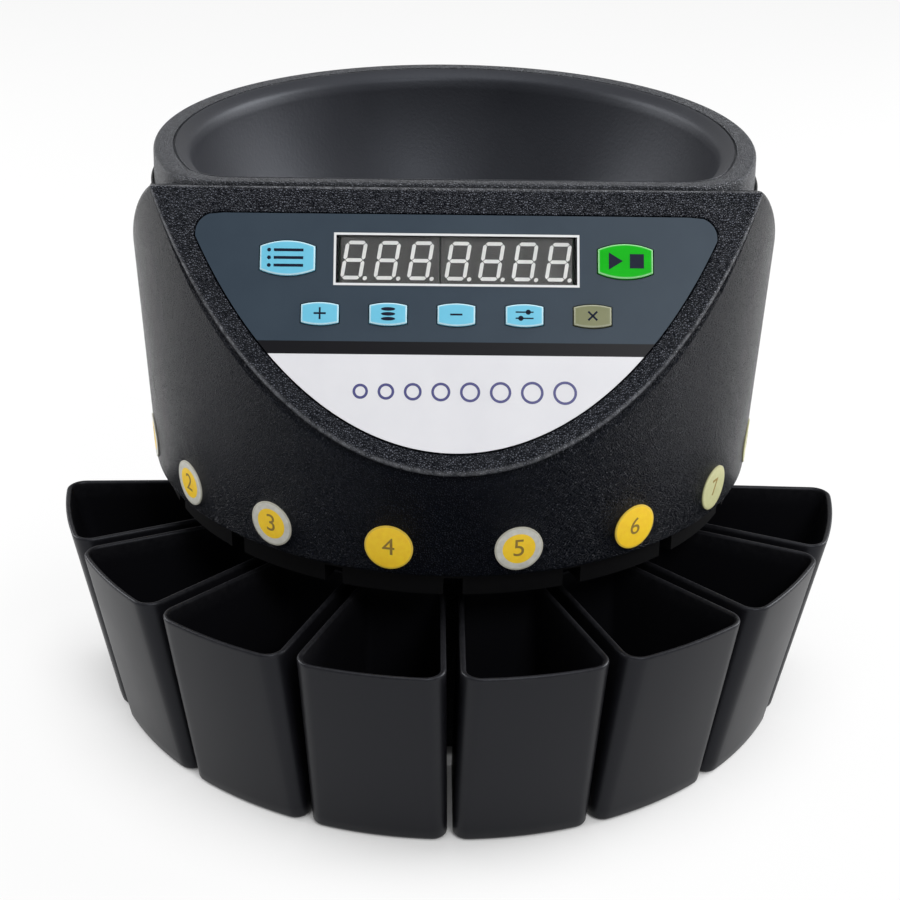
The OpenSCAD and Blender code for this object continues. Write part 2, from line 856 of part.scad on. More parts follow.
// Three flat contacts standing in the inlet's floor
module inlet_pins() {
    pin_y = stand_flat_y - inlet_deep + inlet_floor / 2;
    color(c_steel) for (p = [[-pin_pitch, -pin_drop], [0, pin_drop], [pin_pitch, -pin_drop]])
        translate([inlet_x + p[0] - pin_t / 2, pin_y, inlet_z + p[1] - pin_w / 2])
            cube([pin_t, pin_l, pin_w]);
}

module switch_frame() {
    color(c_socket) translate([switch_x - switch_w / 2, stand_flat_y, inlet_z - switch_h / 2]) difference() {
        union() {
            translate([0, -switch_deep, 0]) cube([switch_w, switch_deep + switch_lip_t / 2, switch_h]);
            translate([-switch_lip, 0, -switch_lip])
                cube([switch_w + 2 * switch_lip, switch_lip_t, switch_h + 2 * switch_lip]);
        }
        translate([switch_skin, switch_floor - switch_deep, switch_skin])
            cube([switch_w - 2 * switch_skin, switch_deep + switch_lip_t, switch_h - 2 * switch_skin]);
    }
}

// Rocker of the mains switch, drawn in its off position: tipped on its pin
module switch_rocker() {
    long = switch_h - 2 * switch_skin;
    color([0.2, 0.2, 0.21]) translate([switch_x, stand_flat_y - rocker_in, inlet_z]) {
        rotate([rocker_tip, 0, 0]) rotate([0, 90, 0])
            linear_extrude(height = switch_w - 2 * switch_skin - 1, center = true)
                polygon([[-long * 0.42, -2.5], [long * 0.42, -2.5], [long * 0.44, 2.4], [0, 3.4],
                    [-long * 0.44, 2.4]]);
        rotate([0, 90, 0]) cylinder(r = rocker_pin_r, h = switch_w - 2 * switch_skin, center = true);
    }
}

module deck_plate() {
    color(c_zinc) difference() {
        union() {
            translate([0, 0, deck_z]) cylinder(r = deck_r, h = deck_t);
            for (k = [1:8]) at_angle((k - 4.5) * cup_pitch) spout();
        }
        for (k = [1:8]) at_angle((k - 4.5) * cup_pitch) spout_hole();
        translate([0, 0, deck_z]) plate_hole(spindle_r + spindle_room, deck_t);
        boss_places() translate([0, 0, deck_z]) plate_hole(screw_r, deck_t);
        lug_places() translate([0, 0, deck_z]) plate_hole(screw_r, deck_t);
    }
}

// Sector of a flat ring, a degrees wide, about the front
module sector(r_in, r_out, a, z, h) {
    translate([0, 0, z]) rotate([0, 0, -90 - a / 2]) rotate_extrude(angle = a)
        translate([r_in, 0]) square([r_out - r_in, h]);
}

module spout() {
    sector(stand_r + spout_wall, deck_r - spout_end, cup_pitch - spout_side_deg,
        spout_z, spout_h + deck_t / 2);
}

module spout_hole() {
    sector(stand_r + 2 * spout_wall, deck_r - chute_wall - spout_end, cup_pitch - spout_bore_deg,
        spout_z - 1, spout_h + deck_t + 2);
}

module deck_screws() {
    color(c_zinc) boss_places() translate([0, 0, deck_top]) mirror([0, 0, 1]) screw(deck_t + screw_bite);
}

module housing_screws() {
    color(c_zinc) lug_places() translate([0, 0, deck_z]) screw(deck_t + screw_bite);
}

module chute_ring() {
    color([0.2, 0.2, 0.22]) {
        translate([0, 0, deck_top]) difference() {
            cylinder(r = chute_in, h = chute_h);
            plate_hole(chute_in - chute_wall, chute_h);
        }
        sector(chute_out - chute_wall, chute_out, 2 * chute_arc, deck_top, chute_h);
        for (k = [0:8]) at_angle((k - 4) * cup_pitch)
            translate([-chute_wall / 2, -chute_out + chute_wall / 2, deck_top])
                cube([chute_wall, chute_out - chute_in, chute_h]);
    }
}

module sorting_ring() {
    color(c_steel) difference() {
        union() {
            translate([0, 0, chute_top]) cylinder(r = chute_out, h = ring_t);
            translate([0, 0, chute_top + ring_t / 2]) difference() {
                cylinder(r = chute_out, h = rail_h + ring_t / 2);
                plate_hole(rail_r, rail_h + ring_t / 2);
            }
        }
        translate([0, 0, chute_top]) plate_hole(disc_r + disc_gap, ring_t);
        for (k = [1:8]) at_angle((k - 4.5) * cup_pitch)
            sector(rail_r - slot_rim - slot_min - (k - 1) * slot_step, rail_r - slot_rim, slot_deg,
                chute_top - 1, ring_t + 2);
    }
}

module chute_sensors() {
    color([0.12, 0.12, 0.13]) for (k = [1:8]) at_angle((k - 4.5) * cup_pitch)
        translate([-sensor[0] / 2, -sensor_at, deck_top + chute_h * sensor_up]) cube(sensor);
}

module coin_disc() {
    color(c_steel) difference() {
        union() {
            translate([0, 0, disc_top - disc_t]) cylinder(r = disc_r, h = disc_t);
            translate([0, 0, disc_top - disc_t - hub_h]) cylinder(r = disc_hub_r, h = hub_h + disc_t / 2);
        }
        translate([0, 0, disc_top - disc_t - hub_h]) plate_hole(spindle_r, hub_h + disc_t);
    }
}

module disc_fingers() {
    color(c_rubber) for (a = [0, 120, 240]) at_angle(a)
        translate([0, 0, disc_top]) linear_extrude(height = finger_h)
            polygon([[-finger_w, -finger_in], [finger_w, -finger_in], [finger_mid_w, -disc_r],
                [finger_tip_w, 3 - rail_r], [-finger_tip_back, 3 - rail_r], [-finger_mid_w, -disc_r]]);
}

module disc_cap() {
    color([0.15, 0.15, 0.16]) translate([0, 0, disc_top]) difference() {
        union() {
            cylinder(r = cap_r, h = cap_rim_h);
            translate([0, 0, cap_rim_h]) cylinder(r1 = cap_r, r2 = cap_top_r, h = cap_cone_h);
        }
        translate([0, 0, -1]) cylinder(r = spindle_r, h = cap_bite + 2);
    }
}

module spindle() {
    color(c_steel) translate([0, 0, spindle_low])
        cylinder(r = spindle_r, h = disc_top + cap_bite - spindle_low);
}

module bearing_housing() {
    color(c_zinc) difference() {
        union() {
            translate([0, 0, deck_top]) cylinder(r = bearing_r + housing_skin, h = housing_h);
            translate([0, 0, deck_top]) cylinder(r = bearing_r + housing_flange, h = housing_flange_t);
        }
        translate([0, 0, deck_top]) plate_hole(spindle_r + spindle_room, housing_h);
        translate([0, 0, deck_top - 1]) cylinder(r = bearing_r, h = bearing_w + 1);
        translate([0, 0, deck_top + housing_h - bearing_w]) cylinder(r = bearing_r, h = bearing_w + 1);
    }
}

module spindle_bearings() {
    color(c_steel) for (z = [deck_top, deck_top + housing_h - bearing_w]) translate([0, 0, z]) difference() {
        cylinder(r = bearing_r, h = bearing_w);
        plate_hole(spindle_r + shaft_gap, bearing_w);
    }
}

// Spur gear outline with straight-flanked teeth
module gear_outline(n, turn) {
    pitch_r = gear_m * n / 2;
    step = 360 / n;
    root = pitch_r - 1.2 * gear_m;
    tip = pitch_r + 0.9 * gear_m;
    polygon([for (i = [0:n - 1]) for (q = [[root, -0.34], [tip, -0.12], [tip, 0.12], [root, 0.34]])
        let (a = turn + step * (i + q[1])) [q[0] * cos(a), q[0] * sin(a)]]);
}

module drive_gear() {
    color(c_acetal) difference() {
        union() {
            translate([0, 0, gear_z]) linear_extrude(height = gear_w) gear_outline(gear_n, 90);
            translate([0, 0, gear_z - gear_hub_out]) cylinder(r = gear_hub_r, h = gear_w + 2 * gear_hub_out);
        }
        translate([0, 0, gear_z - gear_hub_out]) plate_hole(spindle_r, gear_w + 2 * gear_hub_out);
    }
}

module motor_pinion() {
    color(c_steel) translate([0, gear_d, 0]) {
        translate([0, 0, gear_z - 1]) linear_extrude(height = gear_w + 2)
            gear_outline(pinion_n, 90 + 180 / pinion_n);
        translate([0, 0, bracket_z - shaft_in])
            cylinder(r = motor_shaft_r, h = gear_z - bracket_z + gear_w + shaft_in + 2);
    }
}

module drive_motor() {
    color([0.35, 0.36, 0.38]) translate([0, gear_d, 0]) difference() {
        union() {
            translate([0, 0, bracket_z - motor_h]) cylinder(r = motor_r, h = motor_h);
            translate([0, 0, bracket_z - bracket_t]) cylinder(r = motor_nose_r, h = 2 * bracket_t);
        }
        translate([0, 0, bracket_z - shaft_in - 2])
            cylinder(r = motor_shaft_r + shaft_gap, h = shaft_in + bracket_t + 4);
    }
}

module post_places() {
    for (x = [-bracket_half, bracket_half]) for (y = [-post_front, post_back]) translate([x, gear_d + y, 0])
        children();
}

module motor_bracket() {
    color(c_zinc) difference() {
        translate([-bracket_half - bracket_edge, gear_d - bracket_front, bracket_z])
            cube([2 * (bracket_half + bracket_edge), bracket_front + post_back + bracket_edge, bracket_t]);
        translate([0, gear_d, bracket_z]) plate_hole(motor_nose_r, bracket_t);
    }
}

module bracket_posts() {
    color(c_steel) post_places()
        translate([0, 0, bracket_z + bracket_t]) cylinder(r = post_r, h = deck_z - bracket_z - bracket_t);
}

module on_power_board() {
    translate([power_x, power_y, stand_z + power_post_h + board_t]) children();
}

module power_board() {
    color(c_board) on_power_board() translate([0, 0, -board_t]) cube([power_w, power_d, board_t]);
}

module power_board_posts() {
    color(c_acetal) for (x = [power_post_in, power_w - power_post_in])
        for (y = [power_post_in, power_d - power_post_in])
            translate([power_x + x, power_y + y, stand_z]) cylinder(r = power_post_r, h = power_post_h);
}

module power_transformer() {
    color([0.85, 0.7, 0.2]) on_power_board() translate(transformer_at) cube(transformer);
}

module power_capacitor() {
    color([0.15, 0.2, 0.45]) on_power_board() translate(capacitor_at)
        cylinder(r = capacitor_r, h = capacitor_h);
}

// Outer and back radius of a cup at height z
function cup_out(z) = cup_foot_r + (cup_rim_r - cup_foot_r) * z / cup_h;
function cup_back(z) = cup_back_r + cup_back_draft * (1 - z / cup_h);
// Half angle between a cup's back corners at height z
function cup_back_deg(z) =
    cup_pitch / 2 - asin((cup_gap / 2 + 1 - z / cup_h + cup_back_corner) / (cup_back(z) + cup_back_corner));

// Flat slice of a cup's plan at height z, shrunk by t
module cup_slice(z, t) {
    lean = 1 - z / cup_h;
    k = cup_corner - t;
    at_out = cup_out(z) - cup_corner;
    at_back = cup_back(z) + cup_back_corner;
    out_deg = cup_pitch / 2 - asin((cup_gap / 2 + lean + cup_corner) / at_out);
    translate([0, 0, z]) {
        for (f = [-1, -0.5, 0, 0.5, 1])
            at_angle(f * out_deg) translate([0, -at_out, 0]) cylinder(r = k, h = 0.01, $fn = 24);
        for (f = [-1, 1])
            at_angle(f * cup_back_deg(z)) translate([0, -at_back, 0])
                cylinder(r = cup_back_corner - t, h = 0.01, $fn = 24);
    }
}

module coin_cup(n) {
    color(c_cup) at_angle((n - 4.5) * cup_pitch) difference() {
        hull() {
            cup_slice(0, cup_foot_edge);
            cup_slice(cup_foot_edge, 0);
            cup_slice(cup_h - 0.01, 0);
        }
        hull() {
            cup_slice(cup_floor, cup_wall + cup_foot_edge);
            cup_slice(cup_floor + cup_foot_edge, cup_wall);
            cup_slice(cup_h + 0.5, cup_wall);
        }
    }
}

translate([0, axis_back, 0]) {
    base_plate();
    rubber_feet();
    base_screws();
    lower_housing();
    power_inlet();
    inlet_pins();
    switch_frame();
    switch_rocker();
    power_board();
    power_board_posts();
    power_transformer();
    power_capacitor();
    deck_plate();
    deck_screws();
    chute_ring();
    chute_sensors();
    sorting_ring();
    bearing_housing();
    spindle_bearings();
    spindle();
    drive_gear();
    motor_pinion();
    drive_motor();
    motor_bracket();
    bracket_posts();
    coin_disc();
    disc_fingers();
    disc_cap();
    main_housing();
    housing_screws();
    hopper_bowl();
    panel_overlay();
    display_window();
    led_display_left();
    led_display_right();
    control_board();
    control_board_screws();
    key_switches();
    report_key();
    start_stop_key();
    plus_key();
    batch_key();
    minus_key();
    set_key();
    clear_key();
    coin_labels();
    coin_cup(1);  // coin_cup_1
    coin_cup(2);  // coin_cup_2
    coin_cup(3);  // coin_cup_3
    coin_cup(4);  // coin_cup_4
    coin_cup(5);  // coin_cup_5
    coin_cup(6);  // coin_cup_6
    coin_cup(7);  // coin_cup_7
    coin_cup(8);  // coin_cup_8
}
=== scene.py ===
"""Looks of a counter-top coin sorter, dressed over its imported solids. Metres, front at -Y, +Z up."""
import math

import bmesh
import bpy
import numpy as np
from mathutils import Matrix, Vector
from mathutils.geometry import tessellate_polygon


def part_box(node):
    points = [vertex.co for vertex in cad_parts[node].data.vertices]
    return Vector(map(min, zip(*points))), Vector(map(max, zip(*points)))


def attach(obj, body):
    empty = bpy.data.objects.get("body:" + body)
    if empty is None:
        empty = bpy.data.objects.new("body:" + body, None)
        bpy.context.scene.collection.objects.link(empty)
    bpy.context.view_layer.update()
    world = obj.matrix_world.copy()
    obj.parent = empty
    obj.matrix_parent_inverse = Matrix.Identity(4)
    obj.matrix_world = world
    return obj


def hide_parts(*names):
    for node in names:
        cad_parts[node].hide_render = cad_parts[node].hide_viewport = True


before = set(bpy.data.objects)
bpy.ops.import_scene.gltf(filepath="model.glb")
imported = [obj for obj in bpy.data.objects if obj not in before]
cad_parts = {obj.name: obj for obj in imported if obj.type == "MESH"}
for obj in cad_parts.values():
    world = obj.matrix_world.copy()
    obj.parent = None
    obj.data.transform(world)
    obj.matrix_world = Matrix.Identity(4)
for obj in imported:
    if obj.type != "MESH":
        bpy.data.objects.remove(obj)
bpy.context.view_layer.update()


# Stand: a moulded black shell behind the cups, closed below by a base plate on four rubber feet.
# Its outside has the drum's fine leather grain; zinc-plated screws hold plate, shell and deck together.
def shader(tree, kind, settings, inputs):
    """One shader node with its settings; its inputs are set or linked by name or number."""
    made = tree.nodes.new("ShaderNode" + kind)
    for key, value in settings.items():
        setattr(made, key, value)
    for key, value in inputs.items():
        if isinstance(value, bpy.types.NodeSocket):
            tree.links.new(value, made.inputs[key])
        else:
            made.inputs[key].default_value = value
    return made


def noise(tree, place, scale, detail, **more):
    """Cloudy value between 0 and 1."""
    inputs = {"Vector": place, "Scale": scale, "Detail": detail, **more}
    return shader(tree, "TexNoise", {}, inputs).outputs["Fac"]


def carried(tree, name):
    """A value that each point of a piece carries."""
    return shader(tree, "Attribute", {"attribute_name": name}, {}).outputs["Fac"]


def joined(tree, operation, first, second):
    """Two values through one arithmetic step."""
    return shader(tree, "Math", {"operation": operation}, {0: first, 1: second}).outputs[0]


def spread(tree, value, low, high):
    """Value from 0..1 carried to low..high."""
    return shader(tree, "MapRange", {}, {"Value": value, "To Min": low, "To Max": high}).outputs["Result"]


def blend_colour(tree, share, low, high):
    """Colour that goes from low to high as share goes from 0 to 1."""
    low, high = (c if isinstance(c, bpy.types.NodeSocket) else (*c, 1.0) for c in (low, high))
    return shader(tree, "Mix", {"data_type": "RGBA"}, {0: share, 6: low, 7: high}).outputs[2]


def effect(name, inputs, outputs):
    """A shader node group with named inputs (name, kind, plain value) and value outputs, and its two ends."""
    group = bpy.data.node_groups.new(name, "ShaderNodeTree")
    for label, kind, value in inputs:
        socket = group.interface.new_socket(name=label, in_out="INPUT", socket_type="NodeSocket" + kind)
        if value is not None:
            socket.default_value = value
    for label in outputs:
        group.interface.new_socket(name=label, in_out="OUTPUT", socket_type="NodeSocketFloat")
    return group, group.nodes.new("NodeGroupInput"), group.nodes.new("NodeGroupOutput")


def place_effect(tree, group, inputs):
    """A shader node group placed in a material, with its inputs set or linked."""
    return shader(tree, "Group", {"node_tree": group}, inputs)


def new_finish(name, **plain):
    """A material, its tree, its Principled shader with plain values, and its Object coordinates."""
    material = bpy.data.materials.new(name)
    material.use_nodes = True
    tree = material.node_tree
    body = tree.nodes["Principled BSDF"]
    for key, value in plain.items():
        body.inputs[key.replace("_", " ")].default_value = value
    return material, tree, body, shader(tree, "TexCoord", {}, {}).outputs["Object"]


def paint(tree, body, colour, rough):
    """Links a colour and a roughness to a finish's shader."""
    tree.links.new(colour, body.inputs["Base Color"])
    tree.links.new(rough, body.inputs["Roughness"])


def press_height(tree, body, height, strength, distance):
    """Lets a height raise and lower the shaded surface by about a distance."""
    bump = shader(tree, "Bump", {}, {"Height": height, "Strength": strength, "Distance": distance})
    tree.links.new(bump.outputs["Normal"], body.inputs["Normal"])


leather_grain, start, end = effect("leather_grain",
    [("Vector", "Vector", None), ("Cells", "Float", 800.0), ("Drift", "Float", 0.0012)], ["Height", "Tone"])
place = start.outputs["Vector"]
drift = shader(leather_grain, "TexNoise", {}, {"Vector": place, "Scale": 320.0, "Detail": 2.0})
drift = shader(leather_grain, "VectorMath", {"operation": "SCALE"},
    {0: drift.outputs["Color"], "Scale": start.outputs["Drift"]})
bent = shader(leather_grain, "VectorMath", {"operation": "ADD"}, {0: place, 1: drift.outputs[0]})
pebbles = shader(leather_grain, "TexVoronoi", {"feature": "DISTANCE_TO_EDGE"},
    {"Vector": bent.outputs[0], "Scale": start.outputs["Cells"]})
pebbles = shader(leather_grain, "MapRange", {"interpolation_type": "SMOOTHSTEP"},
    {"Value": pebbles.outputs["Distance"], "From Min": 0.0, "From Max": 0.32})
raised = shader(leather_grain, "Math", {"operation": "MULTIPLY_ADD"},
    {0: noise(leather_grain, place, 2400.0, 3.0), 1: 0.4, 2: pebbles.outputs["Result"]})
leather_grain.links.new(raised.outputs[0], end.inputs["Height"])
leather_grain.links.new(noise(leather_grain, place, 34.0, 4.0), end.inputs["Tone"])

# Edges painted paler: partly handling wear, partly a painted highlight on rounded rims.
wear_and_edge_highlight, start, end = effect("wear_and_edge_highlight",
    [("Vector", "Vector", None), ("Edge", "Float", 0.0), ("Amount", "Float", 0.6)], ["Wear"])
rubbed_and_lit = spread(wear_and_edge_highlight, noise(wear_and_edge_highlight, start.outputs["Vector"], 420.0, 5.0), -0.35, 1.05)
for factor in ("Edge", "Amount"):
    rubbed_and_lit = shader(wear_and_edge_highlight, "Math", {"operation": "MULTIPLY", "use_clamp": True},
        {0: rubbed_and_lit, 1: start.outputs[factor]}).outputs[0]
wear_and_edge_highlight.links.new(rubbed_and_lit, end.inputs["Wear"])


def pebble_tops(tree, grain):
    """The tops of the leather's pebbles: 0 up to a grain height of 0.75, 1 from 1.2."""
    limits = {"Value": grain.outputs["Height"], "From Min": 0.75, "From Max": 1.2}
    return shader(tree, "MapRange", {}, limits).outputs["Result"]


def mottled(name, dark, light, rough, scale, depth, metal=0.0, gloss=0.5):
    """Finish with cloudy tone, uneven gloss and a fine raised texture of one scale."""
    material, tree, body, place = new_finish(name, Metallic=metal, Specular_IOR_Level=gloss)
    cloud, fine = noise(tree, place, scale, 5.0), noise(tree, place, scale * 9, 3.0)
    paint(tree, body, blend_colour(tree, cloud, dark, light), spread(tree, fine, *rough))
    press_height(tree, body, fine, 0.5, depth)
    return material


def dress(material, *names):
    """Gives CAD nodes their finish."""
    for name in names:
        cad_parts[name].data.materials.clear()
        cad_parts[name].data.materials.append(material)


# Leather pebbles, coarse ones where the coarse value says so. Pebble tops are painted bright as glints, a
# painted highlight, and edges are painted paler, partly wear and partly painted highlight.
drum_black, tree, body, place = new_finish("drum_black", Specular_IOR_Level=0.3,
    Specular_Tint=(0.12, 0.15, 0.23, 1.0))
grain = place_effect(tree, leather_grain, {"Vector": place, "Cells": 1250.0})
coarse = carried(tree, "coarse")
wear_and_highlight = place_effect(tree, wear_and_edge_highlight, {"Vector": place, "Edge": carried(tree, "edge"), "Amount": 0.9})
# Painted highlight: pebble tops get a bright colour standing in for glints, fuller where the coarse value is
# 1, on the bezel.
tops = joined(tree, "MULTIPLY", pebble_tops(tree, grain), spread(tree, coarse, 0.12, 1.0))
colour = blend_colour(tree, grain.outputs["Tone"], (0.001, 0.0014, 0.003), (0.0026, 0.0032, 0.0054))
colour = blend_colour(tree, tops, colour, (0.12, 0.127, 0.15))
# Bezel's outer edge painted pale: partly wear, partly painted highlight.
colour = blend_colour(tree, wear_and_highlight.outputs["Wear"], colour, (0.42, 0.43, 0.46))
matt = spread(tree, grain.outputs["Tone"], 0.2, 0.3)
paint(tree, body, colour, joined(tree, "SUBTRACT", matt, joined(tree, "MULTIPLY", coarse, 0.04)))
height = joined(tree, "MULTIPLY", grain.outputs["Height"], spread(tree, coarse, 0.7, 1.0))
press_height(tree, body, height, 1.0, 0.0012)
dress(drum_black, "lower_housing", "base_plate")

rubber = mottled("foot_rubber", (0.012, 0.012, 0.012), (0.024, 0.024, 0.024), (0.75, 0.92), 300, 0.0001)
dress(rubber, "rubber_feet", "disc_fingers")
zinc = mottled("zinc", (0.42, 0.44, 0.46), (0.66, 0.67, 0.68), (0.28, 0.46), 240, 0.00005, 1.0)
dress(zinc, "base_screws", "deck_screws", "housing_screws", "control_board_screws", "motor_bracket",
    "bearing_housing")


# Mains side: a three-pin inlet and a rocker switch pressed into the stand's flat rear face.
# Inside, a board on posts carries a wound transformer and a sleeved capacitor.
socket = mottled("socket_black", (0.012, 0.012, 0.013), (0.02, 0.02, 0.021), (0.3, 0.45), 350, 0.00004)
dress(socket, "power_inlet", "switch_frame", "disc_cap", "chute_sensors", "key_switches")
rocker = mottled("rocker_gloss", (0.01, 0.01, 0.011), (0.016, 0.016, 0.017), (0.14, 0.24), 200, 0.00002)
dress(rocker, "switch_rocker")
board = mottled("circuit_board", (0.01, 0.07, 0.035), (0.02, 0.13, 0.06), (0.3, 0.42), 180, 0.00003)
dress(board, "power_board", "control_board")
tape = mottled("wound_tape", (0.5, 0.34, 0.04), (0.68, 0.48, 0.08), (0.4, 0.55), 150, 0.00008)
dress(tape, "power_transformer")
sleeve = mottled("capacitor_sleeve", (0.02, 0.04, 0.16), (0.03, 0.06, 0.22), (0.2, 0.3), 160, 0.00002)
dress(sleeve, "power_capacitor")
acetal = mottled("acetal", (0.72, 0.7, 0.62), (0.82, 0.8, 0.73), (0.34, 0.46), 140, 0.00003)
dress(acetal, "drive_gear", "power_board_posts")


# Deck and sorting ring: a near-black matt plate with a spout over each cup, moulded chutes on it, and a
# turned steel ring whose slots widen from cup to cup. Plate and chutes are partly a black coat and partly
# painted shade for the dark under the drum's edge. The disc below the hopper turns on a spindle in two
# bearings.
spindle_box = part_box("spindle")
axis_y = (spindle_box[0][1] + spindle_box[1][1]) / 2
turned_rings, start, end = effect("turned_rings",
    [("Vector", "Vector", None), ("Lines", "Float", 2500.0)], ["Line"])
flat = shader(turned_rings, "VectorMath", {"operation": "SUBTRACT"},
    {0: start.outputs["Vector"], 1: (0.0, axis_y, 0.0)})
flat = shader(turned_rings, "VectorMath", {"operation": "MULTIPLY"}, {0: flat.outputs[0], 1: (1.0, 1.0, 0.0)})
reach = shader(turned_rings, "VectorMath", {"operation": "LENGTH"}, {0: flat.outputs[0]})
reach = shader(turned_rings, "CombineXYZ", {}, {"X": reach.outputs["Value"]})
lines = noise(turned_rings, reach.outputs[0], start.outputs["Lines"], 4.0)
turned_rings.links.new(lines, end.inputs["Line"])

steel, tree, body, place = new_finish("turned_steel", Metallic=1.0)
cut = place_effect(tree, turned_rings, {"Vector": place, "Lines": 2200.0}).outputs["Line"]
colour = blend_colour(tree, cut, (0.34, 0.35, 0.37), (0.52, 0.53, 0.54))
paint(tree, body, colour, spread(tree, cut, 0.34, 0.5))
press_height(tree, body, cut, 0.4, 0.00004)
dress(steel, "sorting_ring", "coin_disc", "spindle", "spindle_bearings", "motor_pinion", "bracket_posts",
    "inlet_pins")
# Painted shade: deck and chutes are coloured near black and matt, partly their own coat and partly the shade
# under the drum's edge.
coated_and_shaded = mottled("deck_black", (0.002, 0.002, 0.0025), (0.004, 0.004, 0.0045), (0.6, 0.72), 400, 0.00006,
    gloss=0.08)
dress(coated_and_shaded, "deck_plate", "chute_ring")
motor_grey = mottled("motor_grey", (0.12, 0.12, 0.13), (0.18, 0.18, 0.19), (0.34, 0.48), 260, 0.00004, 0.8)
dress(motor_grey, "drive_motor")


# Drum housing: one black moulding with a leaning wall, a rounded shoulder and a raised front cut by the
# sloping panel. The panel's rim is a bezel about 10 mm wide round a shallow pocket for the overlay, with an
# outer edge painted paler, partly wear and partly painted highlight.
lean = math.radians(35)
panel_foot_y, panel_foot_z, panel_length, panel_middle, panel_t = -0.132116, 0.152, 0.1103, 0.055, 0.004
deck_level, drum_top, roof_top, shoulder = 0.106, 0.229, 0.2225, 0.018
wall_foot, wall_lean, wall_t = 0.130, 0.046, 0.003
inside_foot, foot_round, foot_bevel = 0.1075, 0.002, 0.0004
lip_top = deck_level + foot_round
corner_round, bezel_round, corner_steps = 0.0013, 0.0010, 15
overlay_half, overlay_top, overlay_corner, overlay_r, overlay_t = 0.0995, 0.0999, 0.008, 0.127716, 0.001
pocket_gap, pocket_round = 0.0004, 0.0003
seat_plan, opening_plan = (0.1251, 0.0666, 0.027), (0.1181, 0.0621, 0.0225)
collar_gap, roof_slope, ledge_z, ledge_under = 0.0008, 0.12, drum_top - 0.0016, drum_top - 0.003


def on_panel(across, up, out=0.0):
    """Points on the panel: across it, up its slope from the lowest point, and out of its face."""
    across, up, out = np.broadcast_arrays(across, up, out)
    return np.stack([across, panel_foot_y + up * math.sin(lean) - out * math.cos(lean),
        panel_foot_z + up * math.cos(lean) + out * math.sin(lean)], axis=-1)


def round_axis(angle, radius, height):
    """Points at an angle from the front, a distance from the drum's axis and a height."""
    angle, radius, height = np.broadcast_arrays(angle, radius, height)
    return np.stack([radius * np.sin(angle), -radius * np.cos(angle), height], axis=-1)


def round_middle(turn, reach):
    """Points on the panel as (across, up), at a turn and a distance from the panel's middle."""
    return np.stack([reach * np.sin(turn), panel_middle - reach * np.cos(turn)], axis=-1)


def wall_radius(height):
    """Radius of the leaning wall: 130 mm at its lower edge and 0.046 mm more for each mm of height."""
    return wall_foot + wall_lean * (height - deck_level)


def d_reach(angle, radius, front, corner):
    """Distance from the axis to a D outline by the angle: its flat front, corner arc or big circle."""
    angle = np.abs((angle + np.pi) % (2 * np.pi) - np.pi)
    side = math.sqrt((radius - corner) ** 2 - (front - corner) ** 2)
    along = side * np.sin(angle) + (front - corner) * np.cos(angle)
    arc = along + np.sqrt(np.maximum(corner ** 2 - side ** 2 - (front - corner) ** 2 + along ** 2, 0))
    flat = front / np.maximum(np.cos(angle), 0.05)
    on_flat, on_arc = angle < math.atan2(side, front), angle < math.atan2(side, front - corner)
    return np.select([on_flat, on_arc], [flat, arc], radius)


def leave_at(turn, inside):
    """How far a ray from the panel's middle runs inside a shape, found by halving the step forty times."""
    low, high = np.zeros_like(turn), np.full_like(turn, 0.2)
    for _ in range(40):
        middle = (low + high) / 2
        within = inside(*round_middle(turn, middle).T)
        low, high = np.where(within, middle, low), np.where(within, high, middle)
    return low


def in_panel(across, up):
    """Inside the cut that the sloping plane makes through the leaning wall."""
    point = on_panel(across, up)
    return (up <= panel_length) & (np.hypot(point[..., 0], point[..., 1]) <= wall_radius(point[..., 2]))


def in_overlay(across, up, grow=0.0):
    """Inside the overlay: a straight top with round corners, and a lower edge that follows the wall."""
    half, top, corner = overlay_half + grow, overlay_top + grow, overlay_corner
    point = on_panel(across, up)
    past_x, past_y = np.abs(across) - half + corner, up - top + corner
    square = (past_x <= corner) & (past_y <= corner)
    round_off = (past_x <= 0) | (past_y <= 0) | (np.hypot(past_x, past_y) <= corner)
    return square & round_off & (np.hypot(point[..., 0], point[..., 1]) <= overlay_r + grow)


def quads(rows, columns, closed=False):
    """Faces of a grid of points numbered row by row; a closed grid joins its last column to its first."""
    row = np.arange(rows - 1)[:, None] * columns
    this = np.arange(columns if closed else columns - 1)[None, :]
    after = (this + 1) % columns
    corners = [row + this, row + after, row + columns + after, row + columns + this]
    return np.stack(corners, axis=-1).reshape(-1, 4)


def grid(rows, closed=False):
    """Shell from a list of rows of points."""
    rows = np.stack(rows)
    return rows.reshape(-1, 3), quads(*rows.shape[:2], closed).tolist()


def plate(outline, holes, top, bottom):
    """Flat plate on the panel between two heights, from an outline and holes given as (across, up) points."""
    rings = [np.asarray(ring) for ring in (outline, *holes)]
    flat = np.concatenate(rings)
    count = len(flat)
    lid = [tuple(t) for t in tessellate_polygon([[Vector((*p, 0.0)) for p in ring] for ring in rings])]
    faces = lid + [tuple(i + count for i in t[::-1]) for t in lid]
    first = 0
    for ring in rings:
        this = np.arange(first, first + len(ring))
        after = np.roll(this, -1)
        faces += np.stack([this, after, after + count, this + count], axis=-1).tolist()
        first += len(ring)
    return np.concatenate([on_panel(*flat.T, out) for out in (top, bottom)]), faces


